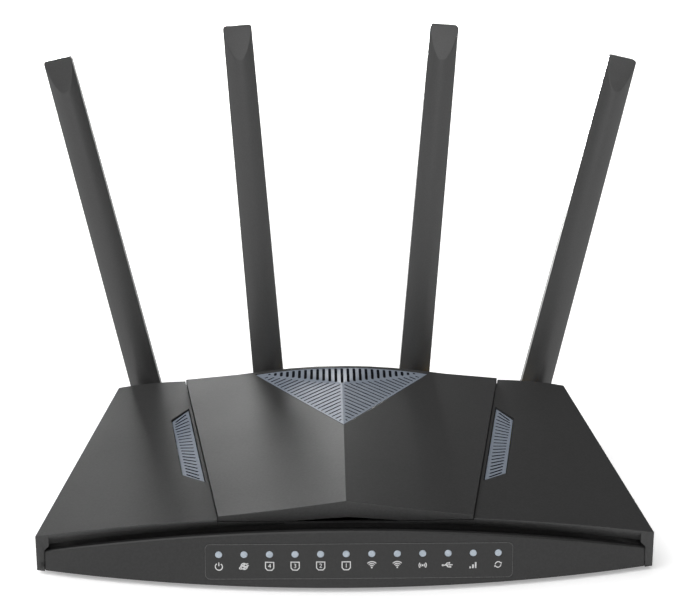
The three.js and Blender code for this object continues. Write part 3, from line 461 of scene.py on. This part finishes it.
def barCutters(lines, width, height):
    rounded = []
    tapers = []
    for start, end in lines:
        a, b = Vector(start), Vector(end)
        length = (b - a).length
        along = (b - a) / length
        stops = [(0, 0.3), (0.08, 0.62), (0.25, 0.9), (0.5, 1)]
        there = [(a + along * s * width, t) for s, t in stops]
        back = [(b - along * s * width, t) for s, t in reversed(stops)]
        rounded.append([tuple(p) for p, t in there + back])
        tapers += [t for p, t in there + back]
    settings = {
        "node_group": bars, barKeys["Width"]: width * mm, barKeys["Height"]: height * mm,
        barKeys["Material"]: finishes["vent_blue_grey"],
    }
    return modified(edgesOf(rounded, {"taper": tapers}), ("NODES", settings))


def repeated(points, unit, material):
    holder = bpy.data.objects.new("unit", unit)
    settings = {"node_group": repeats, repeatKeys["Unit"]: holder, repeatKeys["Material"]: material}
    made = modified(meshOf(points, []), ("NODES", settings))
    bpy.data.objects.remove(holder)
    return made


# ---- the case's surfaces, in millimetres ----

case = {
    "frontHalf": 115, "backHalf": 98.6, "cornerY": -63, "backY": 61.5, "baseBow": 17.5,
    "topBow": 11.4, "bowAtSeam": 0.83, "baseZ": 1.5, "fasciaTilt": 6,
    "ledX": -46.3, "ledPitch": 9.26, "ledZ": 14.6, "leds": 12, "rowArc": 0.00055,
}
# Widths and heights at the front and at the back of each line that a surface is drawn between.
seamHalf = (46.8, 69.2)
wing = {"rim": (15.1, 30), "seam": (25.5, 32.9), "crown": (1.3, 0.6)}
roof = {"ridge": (33.4, 40.35), "seam": (26.8, 33.7), "frontY": -74.4}
# The opening for the vent: its joint and apex on the middle line, and its back corners.
mouth = {"jointY": 39.3, "cornerX": 38, "cornerY": 59.4, "apexY": -5.1, "crown": 3.17}


def lerp(a, b, t):
    return a + (b - a) * t


def depthShare(y):
    front = case["cornerY"] - case["topBow"] * case["bowAtSeam"]
    return (y - front) / (case["backY"] - front)


def backShare(y):
    return (y - case["cornerY"]) / (case["backY"] - case["cornerY"])


def seamX(y):
    return lerp(*seamHalf, depthShare(y))


def wingZ(x, y):
    side = lerp(case["frontHalf"], case["backHalf"], backShare(y))
    u = (side - abs(x)) / (side - seamX(y))
    crown = lerp(*wing["crown"], depthShare(y)) * 4 * u * (1 - u)
    return lerp(lerp(*wing["rim"], backShare(y)), lerp(*wing["seam"], depthShare(y)), u) + crown


def roofZ(x, y):
    ridge = lerp(*roof["ridge"], (y - roof["frontY"]) / (case["backY"] - roof["frontY"]))
    return lerp(ridge, lerp(*roof["seam"], depthShare(y)), abs(x) / seamX(y))


# The roof with its ridge rounded off towards the back, behind the vent's joint.
def coverZ(x, y):
    reach = (y - mouth["jointY"]) / (mouth["cornerY"] - mouth["jointY"])
    half = mouth["cornerX"] * reach
    if reach <= 0 or abs(x) >= half:
        return roofZ(x, y)
    return roofZ(half, y) + mouth["crown"] * reach * (1 - (x / half) ** 2)


def baseFrontY(x):
    radius = (case["frontHalf"] ** 2 + case["baseBow"] ** 2) / (2 * case["baseBow"])
    return case["cornerY"] - case["baseBow"] + radius - math.sqrt(radius ** 2 - x ** 2)


def fasciaY(x, z):
    return baseFrontY(x) + (z - case["baseZ"]) * math.tan(math.radians(case["fasciaTilt"]))


def rowZ(z, x):
    return z - case["rowArc"] * x ** 2


# ---- carried-over pieces, with softened edges ----

edges = {
    "top_shell": 0, "centre_cover": 0.2, "front_fascia": 0.15, "bottom_case": 0.2, "indicator_label": 0.06,
    "light_pipe_strip": 0.08, "power_button": 0.3, "wps_button": 0.3, "sim_tray": 0.15, "usb_port": 0.12,
    "dc_jack": 0.15, "wan_jack": 0.18, "lan_jack_1": 0.18, "lan_jack_2": 0.18, "lan_jack_3": 0.18,
    "heat_sink": 0.1, "wifi_shield": 0.12, "modem_shield": 0.12, "sim_reader": 0.1, "power_switch": 0.1,
    "reset_switch": 0.1, "wps_switch": 0.1, "main_board": 0.06,
}
groupEdges = {
    "rubber_foot": 0.3, "case_screw": 0.08, "board_screw": 0.08, "swivel": 0.3, "back_cover": 0.35,
    "pin": 0.12, "element": 0.05,
}


def edgeWidth(node):
    found = [width for word, width in groupEdges.items() if word in node]
    return edges.get(node, found[0] if found else 0.1)


custom = ["centre_vent_grille", "side_grille_left", "side_grille_right"]
custom += [name for name in nodes if name.endswith("front_shell")]
fields = {"top_shell": wingZ, "centre_cover": coverZ}
carried = sorted(set(nodes) - set(custom))
for node in carried:
    mesh = softened(welded(nodes[node].data.copy()), edgeWidth(node))
    if node in fields:
        mesh = fieldNormals(mesh, fields[node])
    piece = shown(f"{node}_look", mesh, bodyOf[node], slotOf[node])
    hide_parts(node)
print("softened", len(carried), "pieces")


# ---- centre vent ----

vent = {
    "tipX": 37.52, "tipY": 58.7, "backY": 59.1, "apexY": -4.5, "jointY": 39.3, "sink": 0.15, "thick": 2.2,
    "fanPitch": 2.65, "fanWidth": 1.2, "lowerWidth": 0.75, "lowerSlope": 0.9, "border": 1.1,
}


def ventZ(x, y):
    return coverZ(x, y) - vent["sink"]


# Gives the slots' walls and the rim of a plate a darker material: painted shade for the shadow that falls
# inside the slots.
def paintShadeOnWalls(mesh):
    mesh.materials.append(slotPaintedShade)
    for face in mesh.polygons:
        face.material_index = 1 if face.normal.z < 0.8 else 0


def ventPlate():
    points = []
    faces = []
    for side in (-1, 1):
        corners = ((vent["apexY"], vent["jointY"], 30), (vent["jointY"], vent["backY"], 22))
        for low, high, steps in corners:
            across = 44
            first = len(points)
            target = (vent["tipX"], vent["tipY"])
            for s in range(steps + 1):
                spine = lerp(low, high, s / steps)
                end = target if high == vent["jointY"] or s < steps else (vent["tipX"], vent["backY"])
                for t in range(across + 1):
                    share = t / across
                    x, y = end[0] * share, lerp(spine, end[1], share)
                    points.append((side * x, y, ventZ(x, y)))
            for s in range(steps):
                for t in range(across):
                    a = first + s * (across + 1) + t
                    quad = [a, a + 1, a + across + 2, a + across + 1]
                    faces.append(quad if side > 0 else quad[::-1])
    plate = welded(meshOf(points, faces), 0.002, flatten=0)
    return modified(plate, ("SOLIDIFY", {"thickness": vent["thick"] * mm, "offset": -1.0}))


def ventLines():
    fan, lower = [], []
    crease = (mouth["cornerY"] - mouth["jointY"]) / mouth["cornerX"]
    borderSlope = (mouth["cornerY"] - mouth["apexY"]) / mouth["cornerX"]
    tight = vent["border"] * 0.75
    for k in range(-13, 14):
        x = k * vent["fanPitch"]
        y0 = vent["jointY"] + crease * abs(x) + vent["border"]
        y1 = mouth["cornerY"] - vent["border"]
        if y1 - y0 > 0.8:
            fan.append(((x, y0, 36), (x, y1, 36)))
    step = vent["fanPitch"] * (crease + vent["lowerSlope"])
    for n in range(-10, 14):
        onSpine = vent["jointY"] + n * step
        x0 = n * vent["fanPitch"] + tight * 0.6 if n > 0 else tight
        x1 = (onSpine - mouth["apexY"]) / (vent["lowerSlope"] + borderSlope) - tight
        if x1 - x0 < 0.8:
            continue
        for side in (-1, 1):
            start = (side * x0, onSpine - vent["lowerSlope"] * x0, 36)
            lower.append((start, (side * x1, onSpine - vent["lowerSlope"] * x1, 36)))
    return fan, lower


fan, lower = ventLines()
plate = carved(ventPlate(), barCutters(fan, vent["fanWidth"], 24))
plate = carved(plate, barCutters(lower, vent["lowerWidth"], 24))
piece = shown("centre_vent_look", fieldNormals(softened(plate, 0), ventZ), "housing", "vent_blue_grey")
# The slot walls and the plate's rim take the painted shade.
paintShadeOnWalls(piece.data)
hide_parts("centre_vent_grille")
print("centre vent", len(fan) + len(lower), "slots", len(piece.data.polygons), "faces")


# ---- side grilles ----

strip = {
    "inner": 1.4, "outer": 9.1, "front": -36, "back": 25, "frontTilt": 4.1, "backTilt": 5.3, "sink": 0.8,
    "thick": 1.3, "slots": 20, "width": 0.75, "fan": (63, -175, 70),
}


def stripPlate(side):
    points = []
    faces = []
    across, along = 10, 60
    for s in range(along + 1):
        for t in range(across + 1):
            offset = lerp(strip["inner"], strip["outer"], t / across)
            front = lerp(strip["front"] - strip["frontTilt"], strip["front"] + strip["frontTilt"], t / across)
            back = lerp(strip["back"] + strip["backTilt"], strip["back"] - strip["backTilt"], t / across)
            y = lerp(front, back, s / along)
            x = seamX(y) + offset
            points.append((side * x, y, wingZ(x, y) - strip["sink"]))
    for s in range(along):
        for t in range(across):
            a = s * (across + 1) + t
            quad = [a, a + 1, a + across + 2, a + across + 1]
            faces.append(quad if side > 0 else quad[::-1])
    return modified(meshOf(points, faces), ("SOLIDIFY", {"thickness": strip["thick"] * mm, "offset": -1.0}))


def stripLines(side):
    lines = []
    first, turn, bow = strip["fan"]
    middle, half = (strip["inner"] + strip["outer"]) / 2, (strip["outer"] - strip["inner"]) / 2
    for k in range(strip["slots"]):
        t = k / (strip["slots"] - 1)
        angle = math.radians(first + turn * t + bow * t * t)
        y = lerp(strip["back"] - 2.2, strip["front"] + 2.6, t)
        x = seamX(y) + middle
        reach = min(half - 1.1, 3.2 * math.cos(angle) + 0.4) / math.cos(angle)
        dx, dy = -math.cos(angle) * reach, math.sin(angle) * reach
        lines.append(((side * (x + dx), y + dy, 28), (side * (x - dx), y - dy, 28)))
    return lines


for side, word in ((-1, "left"), (1, "right")):
    plate = carved(stripPlate(side), barCutters(stripLines(side), strip["width"], 24))
    plate = fieldNormals(softened(plate, 0), lambda x, y: wingZ(x, y) - strip["sink"])
    piece = shown(f"side_grille_{word}_look", plate, "housing", "vent_blue_grey")
    # The slot walls and the plate's rim take the painted shade.
    paintShadeOnWalls(piece.data)
    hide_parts(f"side_grille_{word}")
print("side grilles made")


# ---- antenna fronts ----

blade = {
    "length": 165, "baseHalf": 6.8, "tipHalf": 6.05, "front": -3.7, "rise": 2.5, "back": 3.4, "split": 0.85,
    "facet": 14.5, "scoop": 1.3, "corner": 1.3, "web": 11.2, "ear": 6.5,
}


def bladeSection(z):
    share = z / blade["length"]
    half = lerp(blade["baseHalf"], blade["tipHalf"], share)
    over = z - (blade["length"] - blade["corner"])
    if over > 0:
        half -= blade["corner"] - math.sqrt(max(0, blade["corner"] ** 2 - over ** 2))
    s = min(1, max(0, (z - blade["length"] + blade["facet"]) / blade["facet"]))
    cut = blade["front"] + blade["rise"] * (1 - (1 - s) ** blade["scoop"])
    across = 40
    line = []
    for k in range(across + 1):
        u = 2 * k / across - 1
        curve = blade["front"] + blade["rise"] * abs(u) ** 2
        line.append((half * u, max(curve, cut) if s > 0 else curve, z))
    rear = blade["back"] if z < blade["web"] else blade["split"]
    return line + [(half, rear, z), (-half, rear, z)]


def bladeFront():
    top = blade["length"]
    stations = [0, 4, 8, blade["web"] - 0.01, blade["web"], 20, 50, 90, 130, top - blade["facet"] - 0.4]
    stations += [top - blade["facet"] + blade["facet"] * k / 40 for k in range(36)]
    stations += [top - blade["corner"] + blade["corner"] * math.sin(k * math.pi / 16) for k in range(9)]
    stations = sorted(set(round(z, 4) for z in stations))
    rings = [bladeSection(z) for z in stations]
    count = len(rings[0])
    faces = []
    for r in range(len(rings) - 1):
        for k in range(count):
            a, b = r * count + k, r * count + (k + 1) % count
            faces.append([a, b, b + count, a + count])
    faces.append(list(range(count))[::-1])
    faces.append([(len(rings) - 1) * count + k for k in range(count)])
    body = meshOf([p for ring in rings for p in ring], faces)
    body = welded(body, 0.0005, flatten=0)
    body = carved(body, rodAlongX(blade["ear"], blade["baseHalf"]), "UNION")
    body = carved(body, boxMesh((-3.2, -20, -20), (3.2, 20, 7.2)))
    return carved(body, rodAlongX(1.6, 9, 32))


bladeMesh = softened(welded(bladeFront(), 0.002, flatten=0.05), 0)
for swivel in sorted(n for n in nodes if n.endswith("_swivel")):
    name = swivel[:-len("_swivel")]
    joint = next(j for j in frame["joints"] if j["name"] == f"{name}_fold")
    pin = Vector(joint["pos_m"])
    axis = Vector(joint["axis"])
    splay = math.atan2(axis.z, -axis.x)
    turned = bladeMesh.copy()
    turned.transform(Matrix.Translation(pin) @ Matrix.Rotation(splay, 4, "Y"))
    piece = shown(f"{name}_front_look", turned, f"{name}_blade", "antenna_grey")
    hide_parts(f"{name}_front_shell")
print("antenna fronts made", len(bladeMesh.polygons), "faces each")


# ---- printed symbols and lenses on the front ----

marks = {"stroke": 0.34, "row": 10.25, "lift": 0.04, "thick": 0.05}


def arc(cx, cz, radius, start, end, steps=20):
    angles = [math.radians(lerp(start, end, k / steps)) for k in range(steps + 1)]
    return [(cx + radius * math.cos(a), cz + radius * math.sin(a)) for a in angles]


def tiltedOval(rx, rz, tilt, start=0, end=360, steps=28):
    c, s = math.cos(math.radians(tilt)), math.sin(math.radians(tilt))
    flat = [(rx * a, rz * b) for a, b in arc(0, 0, 1, start, end, steps)]
    return [(x * c - z * s, x * s + z * c) for x, z in flat]


def dot(cx, cz, radius):
    return arc(cx, cz, radius, 0, 360, 14)[:-1]


# Each symbol is its strokes, its filled outlines and its digit.
def portSymbol(digit):
    outline = [(-1.5, 1.5), (1.5, 1.5), (1.5, -0.7), (0.8, -1.5), (-0.8, -1.5), (-1.5, -0.7), (-1.5, 1.5)]
    return [outline], [], digit


def waveSymbol():
    waves = [arc(0, -0.75, r, 45, 135, 14) for r in (0.85, 1.55, 2.25)]
    return waves, [dot(0, -0.7, 0.32)], None


def bars3():
    tops = ((-1.35, -0.6), (-0.35, 0.1), (0.65, 0.9))
    return [], [[(x, -1.3), (x + 0.6, -1.3), (x + 0.6, top), (x, top)] for x, top in tops], None


def globe():
    ring = arc(0, 0, 1.15, 0, 360, 32)
    orbit = tiltedOval(1.9, 0.6, 28, 20, 335)
    lines = [ring, orbit, [(0, -1.1), (0, 1.1)], [(-1.1, 0), (1.1, 0)]]
    return lines, [], None


symbols = [
    ([arc(0, -0.1, 1.3, 125, 415, 30), [(0, 0.15), (0, 1.55)]], [], None),
    globe(),
    portSymbol("4"),
    portSymbol("3"),
    portSymbol("2"),
    portSymbol("1"),
    waveSymbol(),
    waveSymbol(),
    ([arc(0, 0, r, a - 42, a + 42, 12) for r in (0.75, 1.35) for a in (0, 180)], [dot(0, 0, 0.34)], None),
    (
        [
            [(-1.9, 0), (1.7, 0)],
            [(-1.0, 0), (-0.35, 0.75), (0.35, 0.75)],
            [(-0.6, 0), (0.05, -0.75), (0.7, -0.75)],
        ],
        [
            dot(-1.9, 0, 0.4),
            dot(0.5, 0.75, 0.32),
            [(0.6, -1.05), (1.2, -1.05), (1.2, -0.45), (0.6, -0.45)],
        ],
        None,
    ),
    bars3(),
    ([arc(0, 0, 1.05, 35, 175, 18), arc(0, 0, 1.05, 215, 355, 18)],
     [[(1.4, 0.85), (1.3, 0.1), (0.6, 0.6)], [(-1.4, -0.85), (-1.3, -0.1), (-0.6, -0.6)]], None),
]


# A stroke's outline as quads between its two sides.
def ribbon(line, width):
    closed = math.dist(line[0], line[-1]) < 1e-6
    sides = []
    for k, (x, z) in enumerate(line):
        before = line[k - 1] if k else (line[-2] if closed else line[0])
        after = line[k + 1] if k + 1 < len(line) else (line[1] if closed else line[-1])
        a = Vector((x - before[0], z - before[1]))
        b = Vector((after[0] - x, after[1] - z))
        a = a.normalized() if a.length > 1e-9 else b.normalized()
        b = b.normalized() if b.length > 1e-9 else a
        along = (a + b).normalized()
        out = Vector((-along.y, along.x)) * width / 2 / max(0.5, along.dot(a))
        sides.append(((x + out.x, z + out.y), (x - out.x, z - out.y)))
    return [[p[0], q[0], q[1], p[1]] for p, q in zip(sides, sides[1:])]


def digitOutlines(text, height):
    curve = bpy.data.curves.new("digit", "FONT")
    curve.body = text
    curve.size = height
    curve.align_x = "CENTER"
    curve.align_y = "CENTER"
    holder = bpy.data.objects.new("digit", curve)
    bpy.context.scene.collection.objects.link(holder)
    bpy.context.view_layer.update()
    mesh = bpy.data.meshes.new_from_object(holder.evaluated_get(bpy.context.evaluated_depsgraph_get()))
    bpy.data.objects.remove(holder)
    return [[tuple(mesh.vertices[v].co.xy) for v in face.vertices] for face in mesh.polygons]


# Flat shapes laid on a surface; place turns a shape's point and its depth into a point in space.
def laidOn(shapes, place):
    points = []
    faces = []
    for shape in shapes:
        area = sum(a[0] * b[1] - b[0] * a[1] for a, b in zip(shape, shape[1:] + shape[:1]))
        ordered = shape if area > 0 else shape[::-1]
        count = len(ordered)
        first = len(points)
        for lift in (marks["lift"], marks["lift"] - marks["thick"]):
            points += [place(p, lift) for p in ordered]
        faces.append([first + k for k in range(count)])
        faces.append([first + count + k for k in reversed(range(count))])
        for k in range(count):
            n = (k + 1) % count
            faces.append([first + n, first + k, first + count + k, first + count + n])
    return meshOf(points, faces)


def onFascia(centre):
    def place(point, lift):
        x = centre + point[0]
        z = rowZ(marks["row"], centre) + point[1]
        return (x, fasciaY(x, z) + 0.02 - lift, z)
    return place


symbolShapes = []
for k, (lines, outlines, digit) in enumerate(symbols):
    x = case["ledX"] + k * case["ledPitch"]
    shapes = [quad for line in lines for quad in ribbon(line, marks["stroke"])] + outlines
    if digit:
        shapes += digitOutlines(digit, 2.3)
    symbolShapes.append(laidOn(shapes, onFascia(x)))


def joined(meshes):
    work = bmesh.new()
    for mesh in meshes:
        work.from_mesh(mesh)
    whole = bpy.data.meshes.new("joined")
    work.to_mesh(whole)
    work.free()
    return whole


# The label's outline, with rounded corners; rim is the width of the painted highlight line drawn along it.
label = {"left": -51.3, "right": 61, "top": 18.5, "bottom": 5.45, "radius": 1.8, "rim": 0.28}


def labelOutline():
    r = label["radius"]
    corners = [
        (label["right"] - r, label["top"] - r, 0), (label["left"] + r, label["top"] - r, 90),
        (label["left"] + r, label["bottom"] + r, 180), (label["right"] - r, label["bottom"] + r, 270),
    ]
    line = []
    for k, (x, z, start) in enumerate(corners):
        line += [(px, rowZ(pz, px)) for px, pz in arc(x, z, r, start, start + 90, 8)]
        nextX = corners[(k + 1) % 4][0]
        if k % 2 == 0:
            z = line[-1][1] + case["rowArc"] * line[-1][0] ** 2
            line += [(px, rowZ(z, px)) for px in [lerp(x, nextX, t / 24) for t in range(1, 24)]]
    return line + line[:1]


def onLabel(point, lift):
    return (point[0], fasciaY(*point) + 0.02 - lift, point[1])


# A lighter grey line along the label's outline: a painted highlight standing in for the light on the label's
# bevelled edge.
rimHighlightMesh = laidOn(ribbon(labelOutline(), label["rim"]), onLabel)
shown("label_rim", rimHighlightMesh, "housing", "label_grey", paintedRimHighlight)
shown("indicator_symbols", joined(symbolShapes), "housing", "label_grey", printWhite)


# A domed lens, with its share of the way to the rim stored for the finish.
def lensMesh(radius, dome):
    steps, sides = 6, 28
    points = [(0, -dome, 0)]
    faces = []
    ring = [2 * math.pi * k / sides for k in range(sides)]
    for r in range(1, steps + 1):
        share = r / steps
        y = -dome * math.sqrt(1 - share ** 2)
        points += [(radius * share * math.cos(a), y, radius * share * math.sin(a)) for a in ring]
    points += [(x, 0.6, z) for x, y, z in points[-sides:]]
    for k in range(sides):
        n = (k + 1) % sides
        faces.append([0, 1 + n, 1 + k][::-1])
        for r in range(steps):
            a, b = 1 + r * sides + k, 1 + r * sides + n
            faces.append([a, b, b + sides, a + sides])
    faces.append([1 + steps * sides + k for k in range(sides)])
    mesh = meshOf(points, faces)
    work = bmesh.new()
    work.from_mesh(mesh)
    bmesh.ops.recalc_face_normals(work, faces=work.faces)
    work.to_mesh(mesh)
    work.free()
    rim = [min(1.0, math.hypot(x, z) / radius) for x, y, z in points]
    mesh.attributes.new("rim", "FLOAT", "POINT").data.foreach_set("value", rim)
    mesh.polygons.foreach_set("use_smooth", [True] * len(mesh.polygons))
    return mesh


def lensFinish():
    paint = Paint("lens_blue")
    rim = paint.out("ShaderNodeAttribute", {"attribute_name": "rim"}, socket="Fac")
    speck = paint.noise(0.0003, 2.0)
    ring = paint.ramp(rim, 0.15, 0.7)
    colour = paint.blend(ring, shade(112, (-12, 4, 20)), shade(78, (-24, 4, 44)))
    edge = paint.blend(paint.ramp(rim, 0.75, 1.0) * 0.7, colour, shade(48, (-10, 0, 16)))
    return paint.finish(edge, 0.35 + speck * 0.15, paint.bump(speck, 0.000004), coat=0.2)


lensPoints = []
for k in range(case["leds"]):
    x = case["ledX"] + k * case["ledPitch"]
    z = rowZ(case["ledZ"], x)
    lensPoints.append((x, fasciaY(x, z) + 0.07, z))
lenses = repeated(lensPoints, lensMesh(1.3, 0.14), lensFinish())
shown("indicator_lenses", lenses, "housing", "pipe_clear", lenses.materials[0])
print("front symbols and lenses made")


# ---- socket contacts ----

jacks = [name for name in nodes if name.startswith("lan_jack") or name == "wan_jack"]
contactPoints = []
for jack in sorted(jacks):
    low, high = (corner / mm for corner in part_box(jack))
    middle = (low.x + high.x) / 2
    contactPoints += [(middle + (k - 3.5) * 1.02, high.y - 3, high.z - 1.6) for k in range(8)]


# A springy wire: back along the roof of the mouth, then slanting down and forwards.
def wireMesh(width, thick, path):
    points = []
    faces = []
    for y, z in path:
        points += [(-width / 2, y, z), (width / 2, y, z)]
        points += [(width / 2, y, z - thick), (-width / 2, y, z - thick)]
    for r in range(len(path) - 1):
        for k in range(4):
            a, b = r * 4 + k, r * 4 + (k + 1) % 4
            faces.append([a, b, b + 4, a + 4])
    last = (len(path) - 1) * 4
    faces += [[3, 2, 1, 0], [last, last + 1, last + 2, last + 3]]
    mesh = meshOf(points, faces)
    return welded(mesh, 0.0001, flatten=0)


springPath = [(2.2, 0.05), (1.6, -0.2), (0, -0.6), (-5, -3.3), (-5.6, -3.4), (-6.3, -3.2)]
springs = repeated(contactPoints, wireMesh(0.46, 0.22, springPath), gold)
shown("jack_contacts", springs, "housing", "tin_plate", gold)
low, high = (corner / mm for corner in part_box("usb_port"))
usbX = (low.x + high.x) / 2
pads = repeated([(usbX + k, high.y - 3, low.z + 4.02) for k in (-3.5, -1.2, 1.2, 3.5)],
                wireMesh(1.0, 0.18, [(0.8, 0), (-6, 0)]), gold)
shown("usb_contacts", pads, "housing", "tin_plate", gold)
print("contacts made")


# ---- printed marks on the rear, and the symbol on the power button ----

def onRear(centre, height, face):
    def place(point, lift):
        return (centre - point[0], face + lift, height + point[1])
    return place


def overJack(jack, shapes):
    low, high = (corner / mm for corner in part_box(jack))
    return laidOn(shapes, onRear((low.x + high.x) / 2, high.z + 2.8, case["backY"]))


rearShapes = [overJack(f"lan_jack_{digit}", digitOutlines(digit, 3.2)) for digit in "123"]
rearShapes.append(overJack("wan_jack", [quad for line in globe()[0] for quad in ribbon(line, 0.3)]))
shown("rear_marks", joined(rearShapes), "housing", "case_charcoal", printAndPaintedHighlight("print_rear", 196))
low, high = (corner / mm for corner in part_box("power_button"))
shapes = [quad for line in symbols[0][0] for quad in ribbon(line, 0.4)]
mark = laidOn(shapes, onRear((low.x + high.x) / 2, (low.z + high.z) / 2, high.y))
shown("power_button_mark", mark, "power_button_body", "button_black", printWhite)


# ---- floor, light and camera ----

studio = {
    "floor": 12.0, "floorGrey": 252, "floorGlow": 0.3, "fill": 0.1,
    "sky": {"from": (-0.4, -0.3, 1.0), "spread": 80, "strength": 2.1},
    "side": {"from": (-0.9, -0.1, 0.6), "spread": 60, "strength": 0.35},
    "front": {"at": (0.15, -3.2, 1.05), "width": 0.6, "height": 1.5, "power": 15.0},
    "panel": {"at": (-0.4, 3.0, 0.13), "width": 0.9, "height": 0.4, "power": 300.0},
}


def floorFinish():
    paint = Paint("studio_floor")
    cloud = paint.noise(0.6, 2.0)
    colour = paint.blend(cloud, shade(studio["floorGrey"] - 2), shade(studio["floorGrey"]))
    glow = ((1.0, 1.0, 1.0, 1.0), studio["floorGlow"])
    return paint.finish(colour, 0.9 + cloud * 0.02, level=0.1, glow=glow)


half = studio["floor"] / 2 * 1000
floorCorners = [(-half, -half, 0), (half, -half, 0), (half, half, 0), (-half, half, 0)]
floor = bpy.data.objects.new("floor", meshOf(floorCorners, [[0, 1, 2, 3]]))
floor.data.materials.append(floorFinish())
bpy.context.scene.collection.objects.link(floor)


# A broad, distant light, so that the floor is lit evenly as far as it shows.
def softLight(name, settings):
    light = bpy.data.lights.new(name, "SUN")
    light.energy = settings["strength"]
    light.angle = math.radians(settings["spread"])
    lamp = bpy.data.objects.new(name, light)
    lamp.rotation_euler = Vector(settings["from"]).to_track_quat("Z", "Y").to_euler()
    bpy.context.scene.collection.objects.link(lamp)


softLight("sky_light", studio["sky"])
softLight("side_light", studio["side"])


# A low, glowing panel behind, which the top of the case reflects at a shallow angle.
def softPanel(name, settings):
    light = bpy.data.lights.new(name, "AREA")
    light.shape = "RECTANGLE"
    light.size = settings["width"]
    light.size_y = settings["height"]
    light.energy = settings["power"]
    lamp = bpy.data.objects.new(name, light)
    lamp.location = settings["at"]
    lamp.rotation_euler = (Vector(settings["at"]) - Vector((0, 0, 0.03))).to_track_quat("Z", "Y").to_euler()
    bpy.context.scene.collection.objects.link(lamp)


softPanel("back_panel", studio["panel"])
softPanel("front_panel", studio["front"])
world = bpy.data.worlds.new("studio")
world.use_nodes = True
world.node_tree.nodes["Background"].inputs["Color"].default_value = (1, 1, 1, 1)
world.node_tree.nodes["Background"].inputs["Strength"].default_value = studio["fill"]
bpy.context.scene.world = world
bpy.context.scene.view_settings.view_transform = "Standard"

view = {"target": (2.88, 12, 84.18), "back": (-0.01592, -0.96113, 0.27564), "distance": 647.5, "lens": 82.29}
camera = bpy.data.objects.new("camera", bpy.data.cameras.new("camera"))
camera.data.lens = view["lens"]
camera.data.sensor_width = 36
camera.data.dof.use_dof = False
back = Vector(view["back"]).normalized()
camera.location = (Vector(view["target"]) + back * view["distance"]) * mm
camera.rotation_euler = back.to_track_quat("Z", "Y").to_euler()
camera.data.clip_start = 0.01
bpy.context.scene.collection.objects.link(camera)
bpy.context.scene.camera = camera
